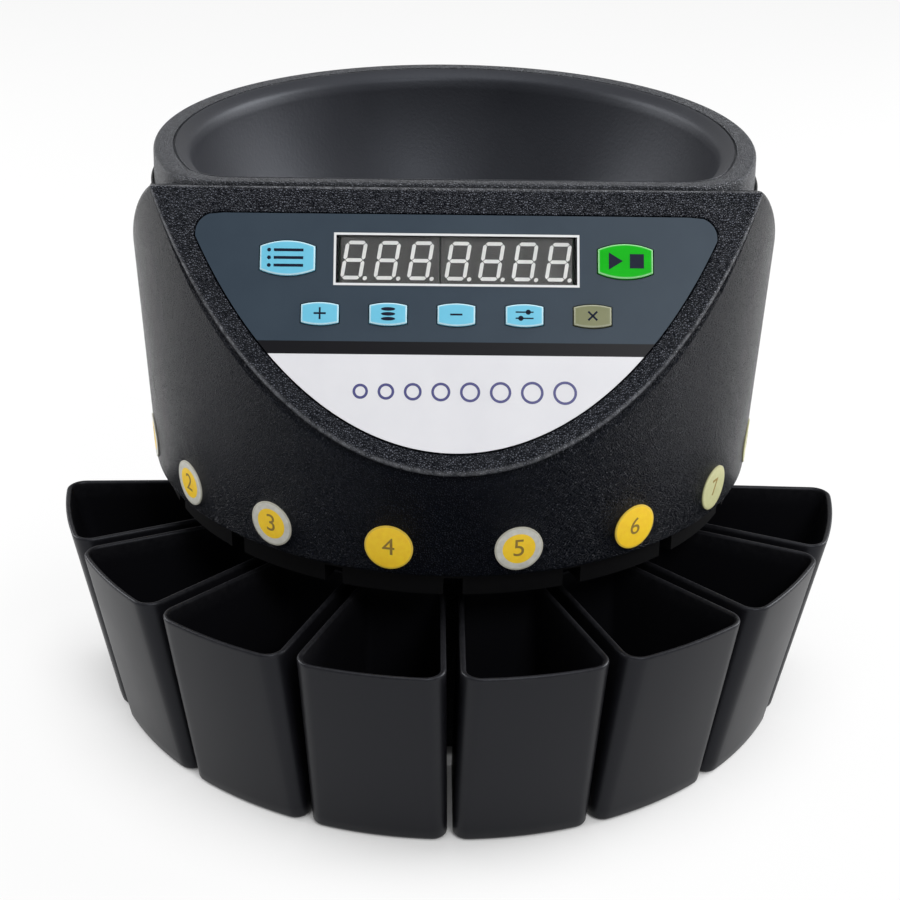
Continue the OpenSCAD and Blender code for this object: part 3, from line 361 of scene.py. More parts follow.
def make_piece(name, shells, material, body, slot, replaces=(), sharp=40, **values):
    """Joins shells drawn about the drum's axis into one mesh in the frame, merges their seams, turns the
    faces outwards and puts the piece on its body. Further values are per-point attributes for the finish."""
    points, faces, first = [], [], 0
    for shell_points, shell_faces in shells:
        points.append(shell_points + (0.0, axis_y, 0.0))
        faces += [[i + first for i in face] for face in shell_faces]
        first += len(shell_points)
    mesh = bpy.data.meshes.new(name)
    mesh.from_pydata(np.concatenate(points).tolist(), [], faces)
    for key, value in values.items():
        mesh.attributes.new(key, "FLOAT", "POINT").data.foreach_set("value", np.asarray(value, np.float32))
    work = bmesh.new()
    work.from_mesh(mesh)
    bmesh.ops.remove_doubles(work, verts=work.verts, dist=2e-6)
    bmesh.ops.dissolve_degenerate(work, edges=work.edges, dist=1e-7)
    bmesh.ops.recalc_face_normals(work, faces=work.faces)
    work.to_mesh(mesh)
    work.free()
    mesh.shade_smooth()
    mesh.set_sharp_from_angle(angle=math.radians(sharp))
    mesh.materials.append(material)
    piece = bpy.data.objects.new(name, mesh)
    bpy.context.scene.collection.objects.link(piece)
    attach(piece, body)
    if replaces:
        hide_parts(*replaces)


top_edge = on_panel(0.0, panel_length)
corner_x = math.sqrt(wall_radius(top_edge[2]) ** 2 - top_edge[1] ** 2)
corner_turn = math.atan2(corner_x, panel_middle - panel_length)
corner_angle = math.atan2(corner_x, -top_edge[1])
finer_from, fade_span = 1.75, 0.25
half_turn = np.concatenate([np.linspace(0, finer_from, 90), np.linspace(finer_from, corner_turn, 50)[1:]])
low_turn = np.concatenate([-half_turn[:0:-1], half_turn])
high_turn = np.linspace(corner_turn, 2 * np.pi - corner_turn, 81)
fan = np.linspace(0, np.pi / 2, corner_steps)[1:-1]
at_corner = np.full(fan.size, corner_turn)
ring_turn = np.concatenate([low_turn, at_corner, high_turn, -at_corner])
edge = on_panel(*round_middle(ring_turn, leave_at(ring_turn, in_panel)).T)
pocket_reach = leave_at(ring_turn, lambda across, up: in_overlay(across, up, pocket_gap))
pocket = on_panel(*round_middle(ring_turn, pocket_reach).T)
edge_angle, edge_radius = np.arctan2(edge[:, 0], -edge[:, 1]), np.hypot(edge[:, 0], edge[:, 1])
inward = (pocket - edge) / np.linalg.norm(pocket - edge, axis=1)[:, None]
low_z = edge[:, 2] - corner_round
arc = np.concatenate([np.zeros(low_turn.size), fan, np.full(high_turn.size, np.pi / 2), fan[::-1]])
first_radius = np.where(arc > 0, edge_radius - wall_lean * corner_round, wall_radius(low_z))
first_radius = first_radius - corner_round * (1 - np.cos(arc))
first_row = round_axis(edge_angle, first_radius, low_z + corner_round * np.sin(arc))
bezel = edge + bezel_round * inward
fade = np.clip((corner_turn - np.abs(low_turn)) / fade_span, 0, 1)
fade = np.concatenate([fade, np.zeros(ring_turn.size - low_turn.size)])


def groove_row(down, deep):
    """Row of the fine groove round the bezel: a distance below the rounded edge and a depth in the wall."""
    height = low_z - down * fade
    cut = round_axis(edge_angle, wall_radius(height) - deep * fade, height)
    return np.where(fade[:, None] > 0, cut, first_row)


groove_foot = 0.0042
groove = ((groove_foot, 0.0), (0.0030, 0.0008), (0.0012, 0.0019), (0.0004, 0.0015))
rows = [groove_row(down, deep) for down, deep in groove]
rows += [(1 - t) ** 2 * first_row + 2 * t * (1 - t) * edge + t * t * bezel for t in np.linspace(0, 1, 8)]
rows += [bezel + t * (pocket - bezel) for t in (0.06, 0.3, 0.6, 0.9)]
rows.append(pocket - inward * pocket_round)
rows += [pocket + on_panel(0, 0, -deep) - on_panel(0, 0) for deep in (pocket_round, overlay_t)]
bezel_shell = grid(rows, closed=True)
# How much of the paler edge each bezel row gets: partly wear, partly painted highlight.
worn_and_lit = [0, 0, 0, 0, 0.1, 0.5, 0.9, 1.0, 1.0, 0.9, 0.5, 0.15]
bezel_edge = np.repeat(worn_and_lit + [0] * (len(rows) - len(worn_and_lit)), ring_turn.size)
# Bezel rows carry the coarse grain and the fuller painted glints; the first six rows, on the wall and groove,
# carry neither.
bezel_coarse = np.ones(len(bezel_edge))
smooth_rows = 6
bezel_coarse[:smooth_rows * ring_turn.size] = 0

along_top = slice(low_turn.size + fan.size, low_turn.size + fan.size + high_turn.size)
low_angle, roof_angle, roof_start = edge_angle[:low_turn.size], edge_angle[along_top], first_row[along_top]
back_angle = np.linspace(corner_angle, 2 * np.pi - corner_angle, 190)


def foot_rows(angle):
    """Lower lip of the wall, from the inside round to the outside, with a rounded edge of 2 mm."""
    inside = wall_radius(deck_level) - wall_t
    steps = [(wall_radius(inside_foot) - wall_t, inside_foot), (inside, deck_level + foot_bevel),
        (inside + foot_bevel, deck_level)]
    steps += [(wall_radius(lip_top) - foot_round * (1 - math.sin(a)), lip_top - foot_round * math.cos(a))
        for a in np.linspace(0, np.pi / 2, 6)]
    return [round_axis(angle, r, z) for r, z in steps]


def wall_rows(angle, start, end, count, inside=0.0):
    """Rows on the leaning wall, or a distance inside it, from one height to another."""
    start, end = np.broadcast_to(start, angle.shape), np.broadcast_to(end, angle.shape)
    return [round_axis(angle, wall_radius(z) - inside, z) for z in np.linspace(start, end, count)]


def seat_rows(angle, start_r, start_z, collar, side_z, collar_z):
    """Rows down the roof's slope to the hopper's collar, then into its seat and over the ledge."""
    seat, opening = d_reach(angle, *seat_plan), d_reach(angle, *opening_plan)
    steps = [(start_r + t * (collar - start_r), start_z + t * (side_z - start_z)) for t in (0.35, 0.7, 1.0)]
    steps += [(collar, collar_z), (seat, collar_z), (seat, ledge_z), (opening, ledge_z),
        (opening, ledge_under)]
    return [round_axis(angle, r, z) for r, z in steps]


def front_inside_top(angle):
    """Height at which the wall's inside meets the panel's underside, 4 mm below its face."""
    low = on_panel(0.0, 0.0, -panel_t)
    slope = math.tan(lean)
    inside = wall_foot - wall_t - wall_lean * deck_level
    return (slope * low[2] - low[1] - inside * np.cos(angle)) / (slope + wall_lean * np.cos(angle))


rows = wall_rows(low_angle, front_inside_top(low_angle), inside_foot, 8, wall_t)[:-1] + foot_rows(low_angle)
rows += wall_rows(low_angle, lip_top, (low_z - groove_foot * fade)[:low_turn.size], 20)[1:]
front_wall = grid(rows)

ear_span, ear_fall, ear_swell = math.radians(20), 1.2, 0.9
off_front = np.minimum(back_angle, 2 * np.pi - back_angle)
share = np.clip((off_front - corner_angle) / ear_span, 0, 1)
ear_top = top_edge[2] - (top_edge[2] - roof_top) * share ** ear_fall
ear_round = corner_round + (shoulder - corner_round) * share ** ear_swell
start_z = ear_top - ear_round
start_r = wall_radius(start_z)
collar = d_reach(back_angle, *seat_plan) + collar_gap
sweep_end = np.arccos(np.clip(1 - (start_r - collar) / ear_round, 0, 1))
rows = foot_rows(back_angle) + wall_rows(back_angle, lip_top, start_z, 20)[1:]
sweep = [sweep_end * t for t in np.linspace(0, 1, corner_steps)]
ear = [(start_r - ear_round * (1 - np.cos(a)), start_z + ear_round * np.sin(a)) for a in sweep]
rows += [round_axis(back_angle, r, z) for r, z in ear[1:]]
roof_r, roof_z = ear[-1]
side_z = roof_z - roof_slope * np.maximum(roof_r - collar, 0)
rows += seat_rows(back_angle, roof_r, roof_z, collar, side_z, np.maximum(side_z, drum_top))
opening, inside_r, under_z = d_reach(back_angle, *opening_plan), start_r - wall_t, ledge_under - 0.0002
under = [((1 - t) ** 2 * opening + (1 - (1 - t) ** 2) * inside_r, (1 - t * t) * under_z + t * t * start_z)
    for t in (0.25, 0.5, 0.75, 1.0)]
rows += [round_axis(back_angle, r, z) for r, z in under]
rows += wall_rows(back_angle, start_z, inside_foot, 8, wall_t)[1:]
back_shell = grid(rows)

roof_r, roof_z = np.hypot(roof_start[:, 0], roof_start[:, 1]), roof_start[:, 2]
collar = np.minimum(d_reach(roof_angle, *seat_plan) + collar_gap, roof_r)
side_z = roof_z - roof_slope * (roof_r - collar)
roof_shell = grid([roof_start] + seat_rows(roof_angle, roof_r, roof_z, collar, side_z, side_z))


def key_outline(width, height, grow=0.0):
    """Key outline as (across, up): straight sides, and upper and lower edges bowed on arcs of one radius,
    three quarters of the width but not under 26 mm."""
    bow = max(0.026, width * 0.75)
    half, tall = width / 2 + grow, height / 2 + grow
    across = np.linspace(half, -half, 25)
    top = tall - bow + np.sqrt(bow ** 2 - across ** 2)
    return np.concatenate([np.stack([across, top], -1), np.stack([across[::-1], -top[::-1]], -1)])


def window_box(width, height):
    """Rectangle about the display's middle as (across, up) points."""
    half, low, high = width / 2, display_up - height / 2, display_up + height / 2
    return np.array([(half, low), (half, high), (-half, high), (-half, low)])


display_up, large_x, large_key = 0.0822, 0.0642, (0.021, 0.0137)
small_up, small_step, small_key = 0.0607, 0.0258, (0.0143, 0.0089)
key_gap, floor_inset = 0.0004, 0.0022
keys = {"report_key": (-large_x, display_up, *large_key), "start_stop_key": (large_x, display_up, *large_key)}
for column, name in enumerate(("plus_key", "batch_key", "minus_key", "set_key", "clear_key")):
    keys[name] = (small_step * (column - 2), small_up, *small_key)
key_holes = [key_outline(w, h, key_gap) + (x, s) for x, s, w, h in keys.values()]
plain_turn = np.concatenate([low_turn, high_turn[1:-1]])
floor_outline = round_middle(plain_turn, leave_at(plain_turn, in_panel) - floor_inset)
panel_floor = plate(floor_outline, key_holes + [window_box(0.0902, 0.0196)], -overlay_t, -panel_t)
shells = [bezel_shell, front_wall, back_shell, roof_shell, panel_floor]
plain = np.zeros(sum(len(s[0]) for s in shells[1:]))
make_piece("drum_housing", shells, drum_black, "frame", "housing_black", ["main_housing"],
    edge=np.concatenate([bezel_edge, plain]), coarse=np.concatenate([bezel_coarse, plain]))


# Panel overlay: a printed plastic film 1 mm thick, glued flush into the bezel's pocket.
# Slate above and white below, parted by a black band; a printed border with a white inner line covers the
# edge of the display's window.
white_top, band_top, soft_edge = 0.0452, 0.0502, 0.000025
line_half_x, line_half_up, line_wide, border_t = 0.04585, 0.0094, 0.0009, 0.00006


def above(tree, value, limit):
    """1 where a value is above a limit, with a narrow soft edge: a twentieth of a millimetre on the film."""
    limits = {"Value": value, "From Min": limit - soft_edge, "From Max": limit + soft_edge}
    return shader(tree, "MapRange", {}, limits).outputs["Result"]


def past_span(tree, value, middle, half):
    """How far a value lies past a span about a middle."""
    off = joined(tree, "ABSOLUTE", joined(tree, "SUBTRACT", value, middle), 0.0)
    return joined(tree, "SUBTRACT", off, half)


overlay_print, tree, body, place = new_finish("overlay_print", Specular_IOR_Level=0.12)
across, up = carried(tree, "across"), carried(tree, "up")
ink, fleck = noise(tree, place, 60.0, 4.0), noise(tree, place, 3200.0, 2.0)
slate = blend_colour(tree, ink, (0.03, 0.046, 0.066), (0.042, 0.062, 0.085))
white = blend_colour(tree, ink, (0.74, 0.74, 0.78), (0.82, 0.82, 0.85))
black = blend_colour(tree, ink, (0.002, 0.002, 0.004), (0.004, 0.004, 0.006))
ground = blend_colour(tree, above(tree, up, white_top), white, black)
ground = blend_colour(tree, above(tree, up, band_top), ground, slate)
past_x, past_up = past_span(tree, across, 0.0, line_half_x), past_span(tree, up, display_up, line_half_up)
off_line = above(tree, joined(tree, "MAXIMUM", past_x, past_up), line_wide)
colour = blend_colour(tree, joined(tree, "SUBTRACT", 1.0, off_line), ground, (0.78, 0.79, 0.8))
paint(tree, body, colour, spread(tree, fleck, 0.3, 0.42))
press_height(tree, body, fleck, 0.25, 0.00002)


def make_print(name, outline, holes, top, bottom, replaces=()):
    """Flat printed piece whose points carry their place on the panel for the print."""
    flat = np.tile(np.concatenate([outline, *holes]), (2, 1))
    make_piece(name, [plate(outline, holes, top, bottom)], overlay_print, "frame", "overlay_print", replaces,
        across=flat[:, 0], up=flat[:, 1])


overlay_outline = round_middle(plain_turn, leave_at(plain_turn, in_overlay))
overlay_holes = key_holes + [window_box(0.097, 0.021)]
make_print("printed_overlay", overlay_outline, overlay_holes, 0.0, -overlay_t, ["panel_overlay"])
make_print("window_border", window_box(0.0976, 0.0216), [window_box(0.0917, 0.0188)], border_t, 0.0)


# Panel marks: a row of eight growing rings printed in indigo on the white field, one for each cup.
# They are thin ink on the film, a twentieth of a millimetre high.
def full_turn(count):
    """Angles spaced evenly round a circle."""
    return np.linspace(0, 2 * np.pi, count + 1)[:-1]


def ring_mark(across, up, outer, inner):
    """Flat ring as a closed band: an outer and an inner circle of points, each at two heights, and the first
    again."""
    turn = full_turn(48)
    steps = ((outer, 0.0), (outer, mark_t), (inner, mark_t), (inner, 0.0), (outer, 0.0))
    rows = [on_panel(across + r * np.cos(turn), up + r * np.sin(turn), z) for r, z in steps]
    return grid(rows, closed=True)


mark_up, mark_line, mark_gap, mark_shift, mark_t = 0.031, 0.001, 0.0036, 0.0026, 0.00005
mark_r = np.linspace(0.0029, 0.0045, 8)
mark_x = np.concatenate([[0], np.cumsum(mark_r[:-1] + mark_r[1:] + mark_gap)])
mark_x = mark_x - mark_x[-1] / 2 + mark_shift
shells = [ring_mark(x, mark_up, r, r - mark_line) for x, r in zip(mark_x, mark_r)]
indigo = mottled("indigo_ink", (0.03, 0.03, 0.16), (0.045, 0.045, 0.2), (0.34, 0.46), 500, 0.00001)
make_piece("panel_marks", shells, indigo, "frame", "overlay_print")


# Display: two dark seven-segment modules, three and four digits, behind a clear window in the overlay.
# The unlit segments are pale milky bars that lean over by nine degrees.
led_face, tree, body, place = new_finish("led_face", IOR=1.5)
haze = noise(tree, place, 900.0, 3.0)
colour = blend_colour(tree, haze, (0.018, 0.018, 0.017), (0.028, 0.028, 0.027))
paint(tree, body, colour, spread(tree, haze, 0.45, 0.6))
dress(led_face, "led_display_left", "led_display_right")
clear_window, tree, body, place = new_finish("clear_window", IOR=1.2, Transmission_Weight=1.0)
smudge = noise(tree, place, 45.0, 5.0)
colour = blend_colour(tree, smudge, (0.9, 0.91, 0.91), (0.97, 0.97, 0.97))
paint(tree, body, colour, spread(tree, smudge, 0.0, 0.05))
dress(clear_window, "display_window")

bar, tall, wide, tip_gap = 0.0014, 0.0152, 0.0083, 0.0002
dot_out, dot_down, dot_r = 0.0019, 0.0002, 0.0008
left_x, left_step, right_x, right_step = -0.0264, 0.0127, 0.0197, 0.01275
segment_face, segment_back, slant = -0.00172, -0.00181, math.tan(math.radians(9))


def segment(x0, y0, x1, y1):
    """Segment between two points: a bar with pointed ends, as six (across, up) points."""
    along = np.array([x1 - x0, y1 - y0]) / math.hypot(x1 - x0, y1 - y0)
    side = np.array([-along[1], along[0]]) * bar / 2
    first, last = np.array([x0, y0]) + along * tip_gap, np.array([x1, y1]) - along * tip_gap
    low, high = first + along * bar / 2, last - along * bar / 2
    return np.array([first, low - side, high - side, last, high + side, low + side])


def spot(x, y, r, squash=1.0):
    """Disc or oval as (across, up) points."""
    turn = full_turn(16)
    return np.stack([x + r * np.cos(turn), y + r * squash * np.sin(turn)], -1)


half_w, half_h = (wide - bar) / 2, (tall - bar) / 2
strokes = [(-half_w, y, half_w, y) for y in (half_h, 0, -half_h)]
strokes += [(x, y, x, y + half_h) for x in (-half_w, half_w) for y in (-half_h, 0)]
shapes = [segment(*s) for s in strokes] + [spot(half_w + dot_out, -half_h - dot_down, dot_r)]
shapes = [np.stack([s[:, 0] + s[:, 1] * slant, s[:, 1] + display_up], -1) for s in shapes]
left_digits, right_digits = left_step * (np.arange(3) - 1), right_step * (np.arange(4) - 1.5)
digit_x = np.concatenate([left_x + left_digits, right_x + right_digits])
shells = [plate(s + (x, 0), [], segment_face, segment_back) for x in digit_x for s in shapes]
milky = mottled("milky_segment", (0.62, 0.62, 0.61), (0.74, 0.74, 0.72), (0.4, 0.55), 700, 0.00001)
make_piece("unlit_segments", shells, milky, "frame", "led_face")


# Keys: seven moulded caps that slide in the panel, each on its own small switch. Satin faces with a paler
# rounded rim; each carries a printed sign.
def key_finish(name, dark, light, rim, gloss=0.25):
    """Key plastic: cloudy satin colour, with the rim attribute leading to a paler shade."""
    material, tree, body, place = new_finish(name, Specular_IOR_Level=gloss)
    cloud, fine = noise(tree, place, 160.0, 4.0), noise(tree, place, 2600.0, 2.0)
    colour = blend_colour(tree, carried(tree, "rim"), blend_colour(tree, cloud, dark, light), rim)
    paint(tree, body, colour, spread(tree, fine, 0.32, 0.45))
    press_height(tree, body, fine, 0.3, 0.00002)
    return material


def strip(x0, y0, x1, y1, width):
    """Straight printed line between two points, as four (across, up) points."""
    along = np.array([x1 - x0, y1 - y0]) / math.hypot(x1 - x0, y1 - y0)
    side = np.array([-along[1], along[0]]) * width / 2
    return np.array([(x0, y0) - side, (x1, y1) - side, (x1, y1) + side, (x0, y0) + side])


def capped(first, rows, last):
    """Rows closed by a point before the first and a point after the last."""
    return [np.broadcast_to(first, rows[0].shape), *rows, np.broadcast_to(last, rows[0].shape)]


sky_blue = key_finish("key_sky_blue", (0.14, 0.52, 0.72), (0.17, 0.59, 0.8), (0.6, 0.82, 0.9))
green = key_finish("key_green", (0.003, 0.41, 0.006), (0.006, 0.5, 0.01), (0.36, 0.74, 0.36), gloss=0.06)
olive = key_finish("key_olive", (0.17, 0.18, 0.085), (0.215, 0.225, 0.11), (0.42, 0.43, 0.32))
looks = {name: (sky_blue, "key_blue") for name in keys}
looks |= {"start_stop_key": (green, "key_green"), "clear_key": (olive, "key_olive")}
sign_ink = mottled("sign_ink", (0.003, 0.006, 0.02), (0.006, 0.01, 0.03), (0.36, 0.5), 600, 0.00001,
    gloss=0.1)
millimetre = 0.001
signs = {
    "report_key": [strip(-5.2, y, 6, y, 1.1) for y in (3, 0, -3)] + [spot(-7, y, 0.75) for y in (3, 0, -3)],
    "start_stop_key": [[(-6.4, -3.4), (-1.0, 0), (-6.4, 3.4)],
        [(1.6, -2.8), (7, -2.8), (7, 2.8), (1.6, 2.8)]],
    "plus_key": [[(-2.3, -.35), (-.35, -.35), (-.35, -2.3), (.35, -2.3), (.35, -.35), (2.3, -.35),
        (2.3, .35), (.35, .35), (.35, 2.3), (-.35, 2.3), (-.35, .35), (-2.3, .35)]],
    "batch_key": [spot(0, y, 2.7, 0.26) for y in (1.9, 0, -1.9)],
    "minus_key": [strip(-2.3, 0, 2.3, 0, 0.7)],
    "set_key": [strip(-3.4, y, 3.4, y, 0.5) for y in (1.2, -1.2)]
        + [spot(1.4, 1.2, 1.0), spot(-1.4, -1.2, 1.0)],
    "clear_key": [strip(-1.7, y, 1.7, -y, 0.75) for y in (-1.7, 1.7)]}
key_foot, key_top, sign_foot, sign_top = -0.0056, 0.00097, 0.00093, 0.00101
crown = [(-0.0012, key_foot, 0), (-0.0012, -0.0044, 0), (0, -0.0044, 0), (0, 0.0003, 0),
    (0.00005, 0.00055, 0.5), (0.0002, 0.00078, 1), (0.00042, 0.0009, 0.9), (0.0006, 0.00092, 0.25),
    (0.0009, 0.00094, 0), (0.002, 0.00096, 0)]
for name, (x, s, width, height) in keys.items():
    ring = key_outline(width, height)
    rows = [on_panel(x + ring[:, 0] * (1 - 2 * d / width), s + ring[:, 1] * (1 - 2 * d / height), z)
        for d, z, _ in crown]
    rows = capped(on_panel(x, s, key_foot), rows, on_panel(x, s, key_top))
    rim = np.repeat([0, *(pale for _, _, pale in crown), 0], len(ring))
    finish, slot = looks[name]
    make_piece(name + "_cap", [grid(rows, closed=True)], finish, name, slot, [name], rim=rim)
    shells = [plate(np.array(shape) * millimetre + (x, s), [], sign_top, sign_foot) for shape in signs[name]]
    make_piece(name + "_sign", shells, sign_ink, name, slot)


# Hopper: one smooth black bowl with a thick grained rim, flat at the front, that drops into the drum's top.
# Its funnel leads down to the turning disc; a fine line parts the grained rim from the polished inside.
turn = full_turn(360)
bowl_r, bowl_z, bowl_wall, bowl_draft, meld_wide = 0.115, 0.232, 0.0028, 0.02, 0.012
rim_out, rim_in = d_reach(turn, 0.1245, 0.066, 0.027), d_reach(turn, bowl_r, 0.059, 0.02)
rim_foot, rim_bevel, rim_side, rim_top, band = 0.2276, 0.0006, 0.234, 0.2432, 0.0054
curl_in, curl_down, rim_lean, rim_under, rim_behind = 0.0018, 0.0020, 0.0002, 0.003, 0.0035
throat, throat_z, throat_in, throat_out = 0.072, 0.1504, 0.0002, 0.0024


def blend_value(tree, share, low, high):
    """Value that goes from low to high as share goes from 0 to 1."""
    return shader(tree, "Mix", {}, {0: share, 2: low, 3: high}).outputs[0]


def meld(first, second, width):
    """The smaller of two distances, rounded over a width where they cross."""
    share = np.clip(0.5 + 0.5 * (second - first) / width, 0, 1)
    return second + (first - second) * share - width * share * (1 - share)


def funnel(height, wall):
    """Distance from the axis to the funnel at a height, grown by a wall: the cone, or the D outline where
    that is nearer."""
    cone = throat + (bowl_r - throat) * (height - throat_z) / (bowl_z - throat_z)
    side = rim_in - band - bowl_draft * (rim_top - height)
    return meld(side, cone + np.zeros_like(rim_in), meld_wide) + wall


profile = [(rim_out - rim_under, rim_foot, 0), (rim_out - rim_bevel, rim_foot, 0),
    (rim_out, rim_foot + rim_bevel, 0), (rim_out, rim_side, 0)]
profile += [(rim_out - curl_in * (1 - math.cos(a)) - rim_lean, rim_top - curl_down * (1 - math.sin(a)), 0)
    for a in np.linspace(0, np.pi / 2, 8)]
fine_line = ((0.0024, 0, 0), (0.0014, 0.0001, 0), (0.0012, 0.0009, 0.2), (0.0005, 0.0009, 0.6),
    (0.0003, 0.0001, 1))
inner_band = ((-0.0004, 0.0002, 1), (-0.0012, 0.0006, 1), (-0.0030, 0.0018, 1),
    (-0.0043, 0.0029, 1), (-0.0050, 0.0038, 1), (-0.0053, 0.0048, 1))
profile += [(rim_in + r, rim_top - z, p) for r, z, p in fine_line + inner_band]
down = np.concatenate([np.linspace(0.2365, 0.2, 24), np.linspace(0.1975, 0.152, 18)])
profile += [(funnel(z, 0.0), z, 1) for z in down]
profile += [(throat + throat_in, throat_z, 1), (throat + throat_out, throat_z, 1)]
back_up = np.concatenate([np.linspace(0.152, 0.2, 8), np.linspace(0.206, rim_foot, 6)])
profile += [(np.minimum(funnel(z, bowl_wall), rim_out - rim_behind), z, 1) for z in back_up]
rows = [round_axis(turn, r, z) for r, z, _ in profile]
rows.append(rows[0])
polish = np.repeat([*(p for _, _, p in profile), 0], turn.size)

hopper_black, tree, body, place = new_finish("hopper_black", Specular_IOR_Level=0.45,
    Specular_Tint=(0.6, 0.64, 0.72, 1.0))
grain = place_effect(tree, leather_grain, {"Vector": place, "Cells": 1250.0})
smooth = carried(tree, "polish")
wipe, scuff = noise(tree, place, 26.0, 6.0, Distortion=0.6), noise(tree, place, 700.0, 3.0)
# Painted highlight: the rim's pebble tops get a bright colour standing in for glints.
pebbled_with_glints = blend_colour(tree, pebble_tops(tree, grain), (0.006, 0.0066, 0.0085), (0.12, 0.125, 0.142))
# Painted light: the polished inside gets a lighter black than the rim, standing in for bounced light and a
# broad sheen.
polished_with_sheen = blend_colour(tree, wipe, (0.01, 0.0105, 0.0135), (0.022, 0.023, 0.028))
rough, sleek = spread(tree, grain.outputs["Tone"], 0.34, 0.46), spread(tree, wipe, 0.4, 0.52)
colour = blend_colour(tree, smooth, pebbled_with_glints, polished_with_sheen)
paint(tree, body, colour, blend_value(tree, smooth, rough, sleek))
relief = blend_value(tree, smooth, grain.outputs["Height"], joined(tree, "MULTIPLY", scuff, 0.12))
press_height(tree, body, relief, 0.8, 0.0007)
make_piece("hopper", [grid(rows, closed=True)], hopper_black, "hopper", "hopper_black", ["hopper_bowl"],
    sharp=60, polish=polish)


# Coin labels: eight round printed stickers on the drum's lower edge, one over each cup, numbered one to
# eight. Some have a yellow middle in a pale ring, some are yellow all over, and the last two are faded.
pitch, label_r, label_z, label_t = math.radians(22), 0.0095, 0.1185, 0.0005
label_angle = (np.arange(8) - 3.5) * pitch
ringed, faded = [1, 1, 1, 0, 1, 0, 0, 0], [0, 0, 0, 0, 0, 0, 1, 1]
ring_from, line_from = 0.68, 0.93
figure_size, figure_t, figure_lift = 0.0105, 0.00003, 0.00002


def on_wall(angle, across, up, out):
    """Points laid on the leaning wall: across and up from a label's middle, and out from the wall."""
    height = label_z + up
    return round_axis(angle + across / wall_radius(height), wall_radius(height) + out, height)


spin = full_turn(72)
steps = [(f, label_t) for f in (0.0, 0.3, 0.6, 0.66, 0.7, 0.9, 0.975)]
steps += [(1.0, label_t * 0.8), (1.0, 0.0), (0.6, 0.0), (0.0, 0.0)]
shells = [grid([on_wall(angle, f * label_r * np.cos(spin), f * label_r * np.sin(spin), t) for f, t in steps],
    closed=True) for angle in label_angle]
points_each = spin.size * len(steps)
label_print, tree, body, place = new_finish("label_print", IOR=1.5)
from_middle = carried(tree, "from_middle")
cloud, fibre = noise(tree, place, 420.0, 4.0), noise(tree, place, 2500.0, 2.0)
yellow = blend_colour(tree, cloud, (0.9, 0.52, 0.002), (1.0, 0.7, 0.008))
faint = blend_colour(tree, cloud, (0.42, 0.42, 0.2), (0.55, 0.55, 0.3))
cream = blend_colour(tree, cloud, (0.42, 0.42, 0.38), (0.74, 0.73, 0.66))
in_ring = joined(tree, "MULTIPLY", above(tree, from_middle, ring_from), carried(tree, "ringed"))
colour = blend_colour(tree, in_ring, blend_colour(tree, carried(tree, "pale"), yellow, faint), cream)
line = joined(tree, "MULTIPLY", above(tree, from_middle, line_from), 0.35)
paint(tree, body, blend_colour(tree, line, colour, (0.25, 0.22, 0.12)), spread(tree, fibre, 0.34, 0.5))
press_height(tree, body, cloud, 0.3, 0.0001)
make_piece("round_labels", shells, label_print, "frame", "label_yellow", ["coin_labels"],
    from_middle=np.tile(np.repeat([f for f, _ in steps], spin.size), len(label_angle)),
    ringed=np.repeat(ringed, points_each), pale=np.repeat(faded, points_each))

shells = []
for number, angle in enumerate(label_angle):
    text = bpy.data.curves.new("figure", "FONT")
    text.body, text.size, text.extrude = str(number + 1), figure_size, figure_t
    text.align_x, text.align_y = "CENTER", "CENTER"
    holder = bpy.data.objects.new("figure", text)
    bpy.context.scene.collection.objects.link(holder)
    bpy.context.view_layer.update()
    drawn = holder.evaluated_get(bpy.context.evaluated_depsgraph_get()).to_mesh()
    flat = np.empty(len(drawn.vertices) * 3, np.float32)
    drawn.vertices.foreach_get("co", flat)
    flat = flat.reshape(-1, 3)
    points = on_wall(angle, flat[:, 0], flat[:, 1], label_t + figure_lift + flat[:, 2])
    shells.append((points, [list(p.vertices) for p in drawn.polygons]))
    bpy.data.objects.remove(holder)
figure_ink = mottled("figure_ink", (0.2, 0.12, 0.01), (0.3, 0.19, 0.02), (0.4, 0.52), 500, 0.00001)
make_piece("label_figures", shells, figure_ink, "frame", "label_yellow")


# Coin cups: eight loose wedge-shaped cups, thin satin black mouldings with a drafted wall, round corners and
# a soft lip. They stand on the table in an arc, each against its stop, and pull straight out.
cup_h, cup_wall, cup_gap, cup_floor, cup_middle = 0.086, 0.0022, 0.0052, 0.0026, -0.128
front_r, front_draft, side_draft = 0.1545, 0.0165, 0.0016
front_corner, corner_growth = 0.006, 0.002
back_r, back_draft, back_corner = 0.098, 0.003, 0.006
lip_r, side_top = 0.0011, 0.0842


def cup_ring(height, inset):
    """Closed outline of a cup's plan at a height, moved inwards: outer arc, two outer corners, sides and two
    back corners."""
    rise = height / cup_h
    out, back = front_r + front_draft * rise, back_r + back_draft * (1 - rise)
    slack, corner = cup_gap / 2 - side_draft * (1 - rise), front_corner + corner_growth * rise
    at_out, at_back = out - corner, back + back_corner
    out_turn = pitch / 2 - math.asin((slack + corner) / at_out)
    back_turn = pitch / 2 - math.asin((slack + back_corner) / at_back)
    side = pitch / 2 + np.pi / 2
    arcs = [(0.0, 0.0, out - inset, np.linspace(-out_turn, out_turn, 17)[1:-1]),
        (out_turn, at_out, corner - inset, np.linspace(out_turn, side, 10)),
        (back_turn, at_back, back_corner - inset, np.linspace(side, np.pi, 8)),
        (-back_turn, at_back, back_corner - inset, np.linspace(-np.pi, -side, 8)),
        (-out_turn, at_out, corner - inset, np.linspace(-side, -out_turn, 10))]
    x = np.concatenate([at * math.sin(a) + r * np.sin(t) for a, at, r, t in arcs])
    y = np.concatenate([-at * math.cos(a) - r * np.cos(t) for a, at, r, t in arcs])
    return np.stack([x, y, np.full(x.size, height)], axis=-1)


